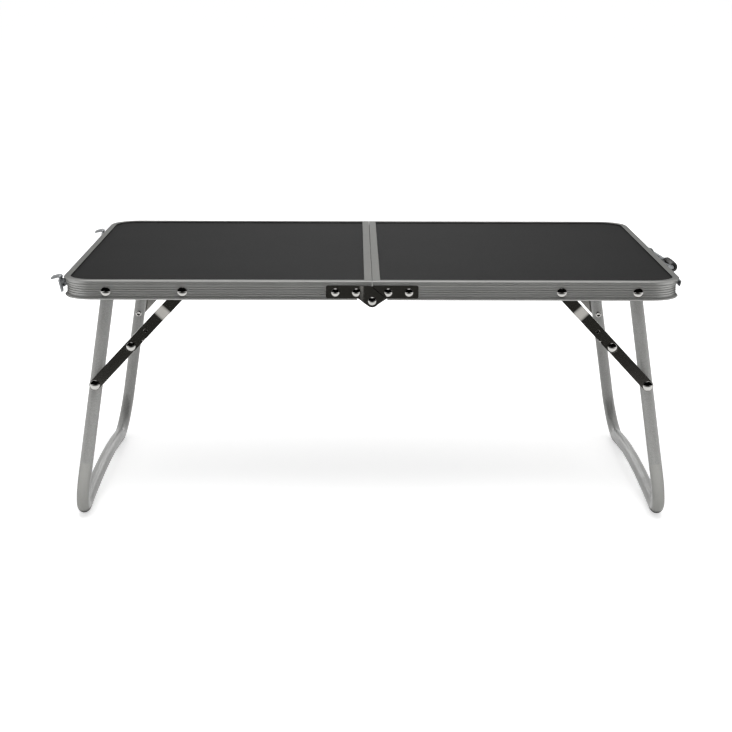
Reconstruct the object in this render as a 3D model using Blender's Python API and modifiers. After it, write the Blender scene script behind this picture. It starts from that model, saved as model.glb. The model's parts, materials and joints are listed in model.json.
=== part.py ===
"""Low folding table with a two-part top, fold-down U legs, braced stays, end latches and a carry handle."""

import bmesh
import bpy
from math import acos, asin, atan, atan2, cos, degrees, hypot, pi, radians, sin, tan
from mathutils import Matrix, Vector

TABLE = "bivvy_table"
LEFT, RIGHT = -1, 1
FRONT, BACK = -1, 1
SIDES = {"left": LEFT, "right": RIGHT}
FACES = {"front": FRONT, "back": BACK}

# Clearance between pieces that touch, and at running pivots
GAP = 0.0003

# How far a cutter runs past what it cuts
PAST = 0.001

# Table top, measured over the bead of its rail
TOP_LENGTH = 0.600
TOP_DEPTH = 0.400
TOP_HEIGHT = 0.251
CORNER_RADIUS = 0.032
CORNER_STEPS = 9
PANEL_THICKNESS = 0.0028

# Edge rail section: insets are measured inwards from the bead, drops down from the top
RAIL_HEIGHT = 0.0192
BEAD_HEIGHT = 0.0013
LIP_INSET = 0.0024
LIP_DROP = 0.0042
FACE_INSET = 0.0031
WALL = 0.0014
GROOVE_DEPTH = 0.0005
UPPER_GROOVE = 0.0014
LOWER_GROOVE = 0.0005
GROOVE_EDGE = 0.0003
FLARE_HEIGHT = 0.0007
FOOT_INSET = 0.0010
FOOT_HEIGHT = 0.0018
FOOT_WIDTH = 0.0012
FLANGE_WIDTH = 0.0067
FLANGE_THICKNESS = 0.0012
LEDGE_WIDTH = 0.0045
LEDGE_THICKNESS = 0.0009

# Trim channels on the two inner edges of the panels
TRIM_WIDTH = 0.0076
TRIM_WALL = 0.0012

# Rivets
SHANK_RADIUS = 0.0022
HEAD_RADIUS = 0.0049
HEAD_HEIGHT = 0.0023
TAIL_RADIUS = 0.0034
TAIL_HEIGHT = 0.0018
SHOULDER_RADIUS = 0.0046
HINGE_HEAD_RADIUS = 0.0041
RIVET_SIDES = 10
RIVET_DROP = 0.0114
RIVET_RIM = 0.0003
MIDDLE_HEAD_RADIUS = 0.0045

# Legs
LEG_END_INSET = 0.044
TUBE_RADIUS = 0.0065
UPRIGHT_INSET = 0.024
BEND_RADIUS = 0.042
ARCH_RISE = 0.009
BEND_STEPS = 8
ARCH_STEPS = 6
PAD_THICKNESS = 0.0015
PAD_SPREAD = 75
PAD_END = 0.065
PAD_START = 0.004

# Folding stays, by the distances between their pivots
PIVOT_SPACING = 0.0735
UPPER_STAY = 0.0755
LOWER_STAY = 0.0535
STAY_WIDTH = 0.0112
STAY_THICKNESS = 0.002
STAY_JOGGLE = 0.0051
JOGGLE_MIDDLE = 0.029
JOGGLE_LENGTH = 0.012
STAY_END_STEPS = 5
TAIL_REACH = 0.019
TAB_FROM_PIVOT = 0.0123
TAB_LENGTH = 0.0036
TAB_THICKNESS = 0.0016
TAB_PROUD = 0.0005
TAB_RELIEF = 0.0029
DIMPLE_FROM_PIVOT = 0.0212
DIMPLE_RADIUS = 0.0019
DIMPLE_DEPTH = 0.0009

# Centre hinges, in heights above their pivot and distances along the rail
HINGE_DROP = 0.0194
HINGE_PLATE = 0.0015
HINGE_REACH = 0.0445
HINGE_TOP = 0.0148
HINGE_BOTTOM = 0.0030
HINGE_ROW = 0.0081
HINGE_CORNER = 0.002
LOBE_RADIUS = 0.0063
NOSE_RADIUS = 0.0124
NOSE_ANGLES = (18.4, 12)
PEAK_HALF = 0.0005
PEAK_END = (0.0007, 0.0130)
HINGE_SHOULDER = 0.014
HINGE_RIVETS = (0.0154, 0.0354)
LAP_START = 0.0105
LAP_END = 0.008
FOOT_NOTCH = 0.0145

# Latches on the left end, as distances out from the top's end and down from the top
FITTING_INSET = 0.050
WING_REACH = 0.0155
WING_DROP = 0.0072
LATCH_APEX = (0.0070, 0.0040)
LATCH_KNEE = (0.0072, 0.0075)
CLAW_TIP = (0.0052, 0.0201)
LATCH_SHEET = 0.0012
LATCH_WIDTH = 0.0150
CLAW_WIDTH = 0.0060
LATCH_PIVOT_OUT = 0.0030
LATCH_PIVOT_DROP = 0.0120
LATCH_PIN_RADIUS = 0.0015
EAR_RADIUS = 0.0031
BRACKET_SHEET = 0.0011
BRACKET_TOP = 0.0070
BRACKET_BOTTOM = 0.0158
WING_EDGE = 0.00024
PIN_SLACK = 0.00003

# Catches on the right end
CATCH_WIDTH = 0.014
CATCH_SHOULDER = 0.0060
CATCH_BEND = (0.0052, 0.0082)
CATCH_TIP = (0.0034, 0.0124)
CATCH_BASE = 0.0150

# Carry handle on the right end
HANDLE_REACH = 0.028
HANDLE_PIVOT_OUT = 0.0046
HANDLE_PIVOT_DROP = 0.0088
HANDLE_DROOP = 27
HANDLE_PIVOT_SPREAD = 0.040
PIN_LENGTH = 0.0105
BAIL_RADIUS = 0.0021
GRIP_RADIUS = 0.005
GRIP_HALF = 0.023
GRIP_SAGITTA = 0.004
GRIP_STEPS = 8
HANDLE_EAR_WIDTH = 0.006
HANDLE_EAR_RADIUS = 0.0042
HANDLE_BASE = 0.0012
HANDLE_BASE_WIDTH = 0.020
HANDLE_BASE_HALF = 0.0041
BAIL_BEND = 0.003
ARM_STRAIGHT = 0.0075

# Sizes that follow from those above
HALF_LENGTH = TOP_LENGTH / 2
HALF_DEPTH = TOP_DEPTH / 2
LEG_PIVOT = HALF_LENGTH - LEG_END_INSET
FITTING_PLACE = HALF_DEPTH - FITTING_INSET
WEB_INSET = FACE_INSET + WALL
WEB_FACE = HALF_DEPTH - FACE_INSET
WEB_BACK = HALF_DEPTH - WEB_INSET
SLOT_TOP = -FLANGE_THICKNESS
SLOT_BOTTOM = SLOT_TOP - PANEL_THICKNESS - 2 * GAP
LEDGE_UNDER = SLOT_BOTTOM - LEDGE_THICKNESS
LEDGE_INSET = WEB_INSET + LEDGE_WIDTH
FLARE_TOP = FOOT_HEIGHT + FLARE_HEIGHT - RAIL_HEIGHT
HOLE_RADIUS = SHANK_RADIUS + GAP
LEG_SPACING = HALF_DEPTH - UPRIGHT_INSET
PAD_RADIUS = TUBE_RADIUS + GAP + PAD_THICKNESS
STAY_PIVOT = LEG_PIVOT - PIVOT_SPACING
LEG_STAY = PIVOT_SPACING + UPPER_STAY - LOWER_STAY
STAY_SPAN = UPPER_STAY + LOWER_STAY
FOLD_COSINE = (LEG_STAY**2 + PIVOT_SPACING**2 - STAY_SPAN**2) / (2 * LEG_STAY * PIVOT_SPACING)
LEG_FOLD = acos(FOLD_COSINE)
LEG_SPLAY = LEG_FOLD - pi / 2
LEG_LENGTH = (TOP_HEIGHT - RIVET_DROP - PAD_RADIUS) / cos(LEG_SPLAY)
STAY_RADIUS = STAY_WIDTH / 2
UPPER_OUT = WEB_BACK - GAP
UPPER_IN = UPPER_OUT - STAY_JOGGLE
LOWER_OUT = UPPER_IN - STAY_THICKNESS - GAP
CENTRE_SHIFT = (WING_REACH - HANDLE_REACH) / 2

PLACES = {}


def clear_scene():
    for item in list(bpy.data.objects):
        bpy.data.objects.remove(item)


def new_collection(name):
    made = bpy.data.collections.new(name)
    bpy.context.scene.collection.children.link(made)
    return made


def finish(name, colour, metallic, roughness):
    """A Principled material of this name, made once."""
    made = bpy.data.materials.get(name)
    if made is None:
        made = bpy.data.materials.new(name)
        made.use_nodes = True
        shader = made.node_tree.nodes["Principled BSDF"]
        shader.inputs["Base Color"].default_value = (*colour, 1)
        shader.inputs["Metallic"].default_value = metallic
        shader.inputs["Roughness"].default_value = roughness
    return made


def finishes():
    return {
        "rail": finish("satin_aluminium", (0.42, 0.42, 0.41), 1.0, 0.38),
        "panel": finish("dark_laminate", (0.035, 0.035, 0.035), 0.0, 0.5),
        "tube": finish("silver_lacquer", (0.38, 0.38, 0.38), 0.8, 0.4),
        "stay": finish("polished_steel", (0.5, 0.49, 0.47), 1.0, 0.2),
        "rivet": finish("bright_rivet", (0.6, 0.6, 0.6), 1.0, 0.15),
        "fitting": finish("zinc_fitting", (0.4, 0.4, 0.4), 1.0, 0.35),
        "grip": finish("black_plastic", (0.012, 0.012, 0.012), 0.0, 0.45),
        "pad": finish("dark_rubber", (0.03, 0.03, 0.03), 0.0, 0.7),
    }


def arc(centre, radius, start, stop, steps):
    """Points of an arc between two angles in degrees, both ends included."""
    turn = (stop - start) / steps
    angles = [radians(start + turn * i) for i in range(steps + 1)]
    return [(centre[0] + radius * cos(a), centre[1] + radius * sin(a)) for a in angles]


def circle(centre, radius, sides=RIVET_SIDES):
    return arc(centre, radius, 0, 360, sides)[:-1]


def tangent_point(corner, radius, turn):
    """Where a line from the corner touches a circle about the origin, on the side that turn says."""
    spread = acos(radius / hypot(*corner))
    angle = atan2(corner[1], corner[0]) + turn * spread
    return degrees(angle)


def strip(points, thickness):
    """Outline of a bent sheet that follows a line of points."""
    rows = []
    for i, point in enumerate(points):
        here = Vector(point)
        before = Vector(points[max(i - 1, 0)])
        after = Vector(points[min(i + 1, len(points) - 1)])
        first = (here - before) if i else (after - here)
        second = (after - here) if i < len(points) - 1 else first
        first = first.normalized()
        second = second.normalized()
        along = (first + second).normalized()
        normal = Vector((-along.y, along.x))
        width = thickness / 2 / max(along.dot(first), 0.3)
        rows.append((here + normal * width, here - normal * width))
    return [tuple(row[0]) for row in rows] + [tuple(row[1]) for row in reversed(rows)]


def drawn_curve(name, loops, closed):
    data = bpy.data.curves.new(name, "CURVE")
    data.dimensions = "2D"
    for loop in loops:
        line = data.splines.new("POLY")
        line.points.add(len(loop) - 1)
        for point, place in zip(line.points, loop):
            point.co = (place[0], place[1], 0, 1)
        line.use_cyclic_u = closed
    made = bpy.data.objects.new(name, data)
    bpy.context.scene.collection.objects.link(made)
    return made


def meshed(curve, *helpers):
    """The curve as a closed mesh; the curve and its helpers are removed."""
    bpy.context.view_layer.update()
    graph = bpy.context.evaluated_depsgraph_get()
    mesh = bpy.data.meshes.new_from_object(curve.evaluated_get(graph))
    shape = bmesh.new()
    shape.from_mesh(mesh)
    bmesh.ops.remove_doubles(shape, verts=shape.verts, dist=0.000005)
    bmesh.ops.recalc_face_normals(shape, faces=shape.faces)
    shape.to_mesh(mesh)
    shape.free()
    for item in (curve, *helpers):
        bpy.data.objects.remove(item)
    return mesh


def sheet(loops, thickness):
    """A flat piece upright in X and Z, centred on its thickness along Y; inner loops are holes."""
    curve = drawn_curve("outline", loops, True)
    curve.data.fill_mode = "BOTH"
    curve.data.extrude = thickness / 2
    mesh = meshed(curve)
    mesh.transform(Matrix.Rotation(pi / 2, 4, "X"))
    return mesh


def level_sheet(loop, thickness):
    """A flat piece that lies level, centred on its thickness along Z."""
    curve = drawn_curve("outline", [loop], True)
    curve.data.fill_mode = "BOTH"
    curve.data.extrude = thickness / 2
    return meshed(curve)


def swept(path, section):
    """A section drawn as (inset, height) carried along a level path, insets to the path's right."""
    outline = drawn_curve("section", [section], True)
    curve = drawn_curve("path", [path], False)
    curve.data.bevel_mode = "OBJECT"
    curve.data.bevel_object = outline
    curve.data.use_fill_caps = True
    return meshed(curve, outline)


def tube(path, radius, sides=12, radii=None):
    """A round bar along a path of (along, height) points, standing in Y and Z."""
    curve = drawn_curve("path", [path], False)
    curve.data.dimensions = "3D"
    curve.data.bevel_depth = radius
    curve.data.bevel_resolution = sides // 2 - 2
    curve.data.use_fill_caps = True
    if radii:
        for point, share in zip(curve.data.splines[0].points, radii):
            point.radius = share
    mesh = meshed(curve)
    mesh.transform(upright())
    return mesh


def upright():
    """Turns a shape drawn level in X and Y to stand in Y and Z."""
    return Matrix(((0, 0, 1, 0), (1, 0, 0, 0), (0, 1, 0, 0), (0, 0, 0, 1)))


def boxes(name, spans):
    """One mesh of boxes, each given by its low and high corner."""
    shape = bmesh.new()
    for low, high in spans:
        middle = (Vector(low) + Vector(high)) / 2
        size = Vector(high) - Vector(low)
        place = Matrix.Translation(middle) @ Matrix.Diagonal((*size, 1))
        bmesh.ops.create_cube(shape, size=1, matrix=place)
    return to_mesh(shape, name)


def rods(name, places, radius, low, high, sides=RIVET_SIDES):
    """Round bars along Y at these X and Z places, in one mesh."""
    shape = bmesh.new()
    add_rods(shape, places, radius, low, high, sides)
    return to_mesh(shape, name)


def add_rods(shape, places, radius, low, high, sides=RIVET_SIDES):
    for x, z in places:
        place = Matrix.Translation((x, (low + high) / 2, z)) @ Matrix.Rotation(pi / 2, 4, "X")
        bmesh.ops.create_cone(
            shape, cap_ends=True, segments=sides, radius1=radius, radius2=radius,
            depth=abs(high - low), matrix=place,
        )


def to_mesh(shape, name):
    mesh = bpy.data.meshes.new(name)
    bmesh.ops.recalc_face_normals(shape, faces=shape.faces)
    shape.to_mesh(mesh)
    shape.free()
    return mesh


def new_body(name, parent, place):
    """An empty on a moving body's joint axis; places are from the middle of the top."""
    made = bpy.data.objects.new(name, None)
    made.empty_display_size = 0.02
    PARTS.objects.link(made)
    PLACES[name] = Vector(place)
    if parent:
        made.parent = bpy.data.objects[parent]
        made.location = PLACES[name] - PLACES[parent]
    return made


def add(name, mesh, body, place, kind, turn=(0, 0, 0)):
    """A piece of a body, its origin at this place from the middle of the top."""
    made = bpy.data.objects.new(name, mesh)
    PARTS.objects.link(made)
    made.parent = bpy.data.objects[body]
    made.location = Vector(place) - PLACES[body]
    made.rotation_euler = turn
    made.data.materials.clear()
    made.data.materials.append(FINISHES[kind])
    made.data.shade_smooth()
    made.data.set_sharp_from_angle(angle=radians(32))
    return made


def shape_with(piece, mesh, operation, name):
    """Cuts this mesh from the piece, or joins it on, at the piece's own place."""
    tool = bpy.data.objects.new(name, mesh)
    TOOLS.objects.link(tool)
    tool.parent = piece
    tool.hide_render = True
    tool.display_type = "WIRE"
    step = piece.modifiers.new(operation.lower(), "BOOLEAN")
    step.operation = operation
    step.object = tool
    return step


def bend_out(mesh, start, end, shift):
    """Sets the sheet over sideways between two stations along X."""
    shape = bmesh.new()
    shape.from_mesh(mesh)
    for station in (start, end):
        parts = shape.verts[:] + shape.edges[:] + shape.faces[:]
        bmesh.ops.bisect_plane(
            shape, geom=parts, dist=1e-7, plane_co=(station, 0, 0), plane_no=(1, 0, 0),
        )
    for vert in shape.verts:
        share = (vert.co.x - start) / (end - start)
        vert.co.y += shift * min(max(share, 0), 1)
    shape.to_mesh(mesh)
    shape.free()
    return mesh


def rivet(name, body, place, face, head_radius, stages, kind="rivet"):
    """A round-headed rivet turned about Y: stages are the radii and lengths behind its head."""
    rise = HEAD_HEIGHT - RIVET_RIM
    dome = head_radius**2 / (2 * rise) + rise / 2
    reach = degrees(asin(head_radius / dome))
    crown = HEAD_HEIGHT - dome
    points = arc((0, crown), dome, 90, 90 - reach, 2) + [(head_radius, 0)]
    depth = 0
    for radius, length in stages:
        points.append((radius, depth))
        depth -= length
        points.append((radius, depth))
    points.append((0, depth))
    mesh = bpy.data.meshes.new(name)
    edges = [(i, i + 1) for i in range(len(points) - 1)]
    mesh.from_pydata([(max(x, 0), 0, z) for x, z in points], edges, [])
    made = add(name, mesh, body, place, kind, (-face * pi / 2, 0, 0))
    turned = made.modifiers.new("turned", "SCREW")
    turned.steps = RIVET_SIDES
    turned.render_steps = RIVET_SIDES
    turned.use_merge_vertices = True
    turned.merge_threshold = 0.00001
    turned.use_smooth_shade = True
    return made


def end_path(inset, seam):
    """The left half's edge at this inset, from the front seam round the end to the back seam."""
    radius = CORNER_RADIUS - inset
    x = CORNER_RADIUS - HALF_LENGTH
    y = HALF_DEPTH - CORNER_RADIUS
    front = arc((x, -y), radius, 270, 180, CORNER_STEPS)
    back = arc((x, y), radius, 180, 90, CORNER_STEPS)
    return [(-seam, inset - HALF_DEPTH), *front, *back, (-seam, HALF_DEPTH - inset)]


def rail_section():
    bead = BEAD_HEIGHT / 2
    groove = FACE_INSET + GROOVE_DEPTH
    face_top = LIP_DROP + UPPER_GROOVE
    face_bottom = -FLARE_TOP - LOWER_GROOVE
    foot_top = RAIL_HEIGHT - FOOT_HEIGHT
    return [
        *arc((bead, -bead), bead, 90, 270, 4),
        (LIP_INSET, -BEAD_HEIGHT - GROOVE_EDGE),
        (LIP_INSET, -LIP_DROP),
        (groove, -LIP_DROP - GROOVE_EDGE),
        (groove, -face_top),
        (FACE_INSET, -face_top - GROOVE_EDGE),
        (FACE_INSET, -face_bottom + GROOVE_EDGE),
        (groove, -face_bottom),
        (groove, FLARE_TOP),
        (FOOT_INSET, -foot_top),
        (FOOT_INSET, -RAIL_HEIGHT),
        (FOOT_INSET + FOOT_WIDTH, -RAIL_HEIGHT),
        (FOOT_INSET + FOOT_WIDTH, -foot_top - FOOT_WIDTH),
        (WEB_INSET, -foot_top),
        (WEB_INSET, LEDGE_UNDER),
        (LEDGE_INSET, LEDGE_UNDER),
        (LEDGE_INSET, SLOT_BOTTOM),
        (WEB_INSET, SLOT_BOTTOM),
        (WEB_INSET, SLOT_TOP),
        (FLANGE_WIDTH, SLOT_TOP),
        (FLANGE_WIDTH, 0),
    ]


def make_top():
    """Rails, panels and centre trims: the right half is the left one turned about."""
    rail = swept(end_path(0, GAP / 2), rail_section())
    panel = level_sheet(end_path(WEB_INSET + GAP, GAP / 2 + TRIM_WALL + GAP), PANEL_THICKNESS)
    seam = -GAP / 2
    channel = [
        (seam, 0), (seam, LEDGE_UNDER), (seam - TRIM_WIDTH, LEDGE_UNDER),
        (seam - TRIM_WIDTH, SLOT_BOTTOM), (seam - TRIM_WALL, SLOT_BOTTOM),
        (seam - TRIM_WALL, SLOT_TOP), (seam - TRIM_WIDTH, SLOT_TOP), (seam - TRIM_WIDTH, 0),
    ]
    trim_reach = HALF_DEPTH - FLANGE_WIDTH - GAP
    trim = sheet([channel], 2 * trim_reach)
    holes = [(-x, -RIVET_DROP) for x in (LEG_PIVOT, STAY_PIVOT)]
    holes += [(-x, HINGE_ROW - HINGE_DROP) for x in HINGE_RIVETS]
    drills = rods("rivet_holes", holes, HOLE_RADIUS, -HALF_DEPTH, HALF_DEPTH)
    notch_low = (-FOOT_NOTCH, -HALF_DEPTH, -RAIL_HEIGHT - PAST)
    notch = boxes("hinge_notch", [(notch_low, (PAST, HALF_DEPTH, FLARE_TOP))])
    ledge_end = HALF_DEPTH - LEDGE_INSET - GAP
    low = LEDGE_UNDER - PAST
    high = SLOT_BOTTOM + GAP
    ends = boxes("trim_ends", [
        ((-2 * TRIM_WIDTH, ledge_end, low), (PAST, HALF_DEPTH, high)),
        ((-2 * TRIM_WIDTH, -HALF_DEPTH, low), (PAST, -ledge_end, high)),
    ])
    panel_middle = SLOT_TOP - GAP - PANEL_THICKNESS / 2
    for word, side in SIDES.items():
        body = word + "_half"
        turn = (0, 0, 0 if side == LEFT else pi)
        piece = add(word + "_rail", rail.copy(), body, (0, 0, 0), "rail", turn)
        shape_with(piece, drills, "DIFFERENCE", word + "_rivet_holes")
        shape_with(piece, notch, "DIFFERENCE", word + "_hinge_notch")
        add(word + "_panel", panel.copy(), body, (0, 0, panel_middle), "panel", turn)
        piece = add(word + "_trim", trim.copy(), body, (0, 0, 0), "rail", turn)
        shape_with(piece, ends, "DIFFERENCE", word + "_trim_ends")


def plate_end(side):
    """The rounded outer end of a hinge plate, from its top edge to its bottom edge."""
    x = HINGE_REACH - HINGE_CORNER
    top = arc((x, HINGE_TOP - HINGE_CORNER), HINGE_CORNER, 90, 0, 3)
    bottom = arc((x, HINGE_BOTTOM + HINGE_CORNER), HINGE_CORNER, 0, -90, 3)
    return [(side * x, z) for x, z in top + bottom]


def lapping_outline():
    """The left plate, whose nose lies over the right one at the pivot."""
    shoulder = (-HINGE_SHOULDER, HINGE_BOTTOM)
    nose = arc((0, 0), NOSE_RADIUS, *NOSE_ANGLES, 2)
    right = tangent_point(nose[-1], LOBE_RADIUS, -1)
    left = tangent_point(shoulder, LOBE_RADIUS, 1) - 360
    lobe = arc((0, 0), LOBE_RADIUS, right, left, 6)
    peak = [(-PEAK_HALF, HINGE_TOP), PEAK_END]
    return [*reversed(plate_end(LEFT)), *peak, *nose, *lobe, shoulder]


def under_outline():
    """The right plate, all in the layer next to the rail."""
    shoulder = (HINGE_SHOULDER, HINGE_BOTTOM)
    corner = (PEAK_HALF, HINGE_TOP)
    right = tangent_point(shoulder, LOBE_RADIUS, -1)
    left = tangent_point(corner, LOBE_RADIUS, 1) - 360
    return [corner, *plate_end(RIGHT), shoulder, *arc((0, 0), LOBE_RADIUS, right, left, 12)]


def make_hinges():
    plate_middle = WEB_FACE + GAP + HINGE_PLATE / 2
    head_base = WEB_FACE + 2 * GAP + HINGE_PLATE
    web_grip = head_base - WEB_BACK + GAP
    lap = HINGE_PLATE + GAP
    for face_word, face in FACES.items():
        for word, side in SIDES.items():
            outline = lapping_outline() if side == LEFT else under_outline()
            holes = [circle((side * x, HINGE_ROW), HOLE_RADIUS) for x in HINGE_RIVETS]
            mesh = sheet([outline, circle((0, 0), HOLE_RADIUS), *holes], HINGE_PLATE)
            if side == LEFT:
                bend_out(mesh, -LAP_START, -LAP_END, face * lap)
            place = (0, face * plate_middle, -HINGE_DROP)
            add(f"hinge_plate_{word}_{face_word}", mesh, word + "_half", place, "stay")
            for number, x in zip(("inner", "outer"), HINGE_RIVETS):
                place = (side * x, face * head_base, HINGE_ROW - HINGE_DROP)
                stages = [(SHANK_RADIUS, web_grip), (TAIL_RADIUS, TAIL_HEIGHT)]
                name = f"hinge_rivet_{word}_{face_word}_{number}"
                rivet(name, word + "_half", place, face, HINGE_HEAD_RADIUS, stages)
        place = (0, face * (head_base + lap), -HINGE_DROP)
        stages = [(SHANK_RADIUS, 2 * lap)]
        rivet(f"hinge_pin_{face_word}", "left_half", place, face, HINGE_HEAD_RADIUS, stages)


def leg_line():
    """The leg's centre line as (along, height), from the front end to the back end."""
    half = LEG_SPACING - BEND_RADIUS
    turn = atan(2 * ARCH_RISE / half)
    centre = (-half, BEND_RADIUS - LEG_LENGTH)
    bend = arc(centre, BEND_RADIUS, 180, 270 + degrees(turn), BEND_STEPS)
    start, low = bend[-1]
    rise = tan(turn) * abs(start) / 2
    steps = [start * (1 - 2 * i / ARCH_STEPS) for i in range(1, ARCH_STEPS)]
    arch = [(x, low + rise * (1 - (x / start) ** 2)) for x in steps]
    return bend, arch


def leg_path():
    """Centre line with domed ends past the pivots, and the share of the tube's radius at each point."""
    bend, arch = leg_line()
    shares = [0.35, 0.7, 0.92, 1.0]
    ends = [(-LEG_SPACING, TUBE_RADIUS * cos(asin(share))) for share in shares]
    lead = [*ends, *bend]
    path = [*lead, *arch, *((-x, z) for x, z in reversed(lead))]
    radii = shares + [1.0] * (len(path) - 2 * len(shares)) + shares[::-1]
    return path, radii


def pad_path():
    """The stretch of the centre line that the front pad covers."""
    bend, arch = leg_line()
    covered = [point for point in arch if point[0] < -PAD_END]
    after = arch[len(covered)]
    before = (covered or bend)[-1]
    share = (-PAD_END - before[0]) / (after[0] - before[0])
    end = (-PAD_END, before[1] + share * (after[1] - before[1]))
    start = (-LEG_SPACING, bend[0][1] + PAD_START)
    return [start, *bend, *covered, end]


def pad_section():
    inner = TUBE_RADIUS + GAP
    outside = arc((0, 0), inner + PAD_THICKNESS, -PAD_SPREAD, PAD_SPREAD, 6)
    inside = arc((0, 0), inner, PAD_SPREAD, -PAD_SPREAD, 6)
    return outside + inside


def make_legs():
    path, radii = leg_path()
    leg = tube(path, TUBE_RADIUS, 12, radii)
    holes = [(0, 0), (0, -LEG_STAY)]
    drills = rods("leg_holes", holes, HOLE_RADIUS, -HALF_DEPTH, HALF_DEPTH)
    front_pad = swept(pad_path(), pad_section())
    back_pad = swept([(-x, z) for x, z in reversed(pad_path())], pad_section())
    for pad in (front_pad, back_pad):
        pad.transform(upright())
    for word, side in SIDES.items():
        body = "leg_" + word
        place = PLACES[body]
        turn = (0, LEG_SPLAY, 0 if side == LEFT else pi)
        piece = add(word + "_leg", leg.copy(), body, place, "tube", turn)
        shape_with(piece, drills, "DIFFERENCE", word + "_leg_holes")
        near, far = ("front", "back") if side == LEFT else ("back", "front")
        add(f"foot_pad_{word}_{near}", front_pad.copy(), body, place, "pad", turn)
        add(f"foot_pad_{word}_{far}", back_pad.copy(), body, place, "pad", turn)


def stay_points(side):
    """Leg pivot, stay pivot, leg joint and middle joint of one side, in X and Z."""
    top = Vector((side * LEG_PIVOT, -RIVET_DROP))
    frame = Vector((side * STAY_PIVOT, -RIVET_DROP))
    leg = top + LEG_STAY * Vector((side * sin(LEG_SPLAY), -cos(LEG_SPLAY)))
    middle = frame + (leg - frame) * (UPPER_STAY / STAY_SPAN)
    return top, frame, leg, middle


def bar_turn(start, end):
    """Turn about Y that lays a bar drawn along X from one point to the other."""
    along = end - start
    return atan2(-along.y, along.x)


def stay_outline(length, reach, edge):
    """A round-ended bar from the pivot at 0; edge holds points of its lower edge, if any."""
    start = arc((0, 0), STAY_RADIUS, 90, 270, STAY_END_STEPS)
    end = arc((length + reach, 0), STAY_RADIUS, -90, 90, STAY_END_STEPS)
    return [*start, *edge, *end]


def upper_stay_mesh(face, lower_edge):
    """The stay riveted to the rail; lower_edge is which side of it faces down and in."""
    near = UPPER_STAY - TAB_FROM_PIVOT - TAB_LENGTH / 2 - GAP
    far = UPPER_STAY - TAB_FROM_PIVOT + TAB_LENGTH / 2 + GAP
    floor = STAY_RADIUS - TAB_THICKNESS - GAP
    notch = [
        (near - TAB_RELIEF, -STAY_RADIUS), (near - TAB_RELIEF / 3, -floor),
        (far, -floor), (far, -STAY_RADIUS),
    ]
    outline = stay_outline(UPPER_STAY, 0, notch)
    loops = [outline, circle((0, 0), HOLE_RADIUS), circle((UPPER_STAY, 0), HOLE_RADIUS)]
    loops = [[(x, -lower_edge * z) for x, z in loop] for loop in loops]
    mesh = sheet(loops, STAY_THICKNESS)
    start = JOGGLE_MIDDLE - JOGGLE_LENGTH / 2
    return bend_out(mesh, start, start + JOGGLE_LENGTH, -face * STAY_JOGGLE)


def dimple_tool(face):
    """A cone that sinks a detent into the outer face of an upper stay."""
    shape = bmesh.new()
    slope = DIMPLE_RADIUS * 2 / 3 / DIMPLE_DEPTH
    mouth = DIMPLE_RADIUS + PAST * slope
    outside = STAY_THICKNESS / 2 - STAY_JOGGLE
    depth = DIMPLE_DEPTH + PAST
    middle = face * (outside - DIMPLE_DEPTH + depth / 2)
    place = Matrix.Translation((UPPER_STAY - DIMPLE_FROM_PIVOT, middle, 0))
    bmesh.ops.create_cone(
        shape, cap_ends=True, segments=8, radius1=mouth, radius2=DIMPLE_RADIUS / 3,
        depth=depth, matrix=place @ Matrix.Rotation(face * pi / 2, 4, "X"),
    )
    return to_mesh(shape, "dimple")


def lower_stay_tool(face, lower_edge):
    """Stop tab and rivet tail that belong to a lower stay, on its two faces."""
    shape = bmesh.new()
    inside = -STAY_THICKNESS / 2
    outside = STAY_THICKNESS / 2 + GAP + STAY_THICKNESS + TAB_PROUD
    along = LOWER_STAY + TAB_FROM_PIVOT
    across = lower_edge * (STAY_RADIUS - TAB_THICKNESS / 2)
    middle = (along, face * (inside + outside) / 2, across)
    size = Matrix.Diagonal((TAB_LENGTH, outside - inside, TAB_THICKNESS, 1))
    bmesh.ops.create_cube(shape, size=1, matrix=Matrix.Translation(middle) @ size)
    low = face * (inside - TAIL_HEIGHT)
    high = face * (inside / 2)
    add_rods(shape, [(LOWER_STAY, 0)], TAIL_RADIUS, low, high)
    return to_mesh(shape, "stay_tab")


def make_stays():
    upper_middle = UPPER_OUT - STAY_THICKNESS / 2
    lower_middle = LOWER_OUT - STAY_THICKNESS / 2
    for word, side in SIDES.items():
        top, frame, leg, middle = stay_points(side)
        for face_word, face in FACES.items():
            ending = f"{word}_{face_word}"
            body = "stay_upper_" + ending
            mesh = upper_stay_mesh(face, -side)
            place = (frame.x, face * upper_middle, frame.y)
            turn = (0, bar_turn(frame, middle), 0)
            piece = add("upper_stay_" + ending, mesh, body, place, "stay", turn)
            dimple = shape_with(piece, dimple_tool(face), "DIFFERENCE", "dimple_" + ending)
            dimple.solver = "MANIFOLD"
            place = (middle.x, face * (UPPER_IN + GAP), middle.y)
            grip = [(SHANK_RADIUS, STAY_THICKNESS + GAP)]
            rivet("middle_rivet_" + ending, body, place, face, MIDDLE_HEAD_RADIUS, grip)
            body = "stay_lower_" + ending
            outline = stay_outline(LOWER_STAY, TAIL_REACH - STAY_RADIUS, [])
            mesh = sheet([outline, circle((0, 0), HOLE_RADIUS)], STAY_THICKNESS)
            place = (leg.x, face * lower_middle, leg.y)
            turn = (0, bar_turn(leg, middle), 0)
            piece = add("lower_stay_" + ending, mesh, body, place, "stay", turn)
            shape_with(piece, lower_stay_tool(face, side), "UNION", "stay_tab_" + ending)
            make_stay_rivets(word, face_word, face, top, frame, leg)


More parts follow.
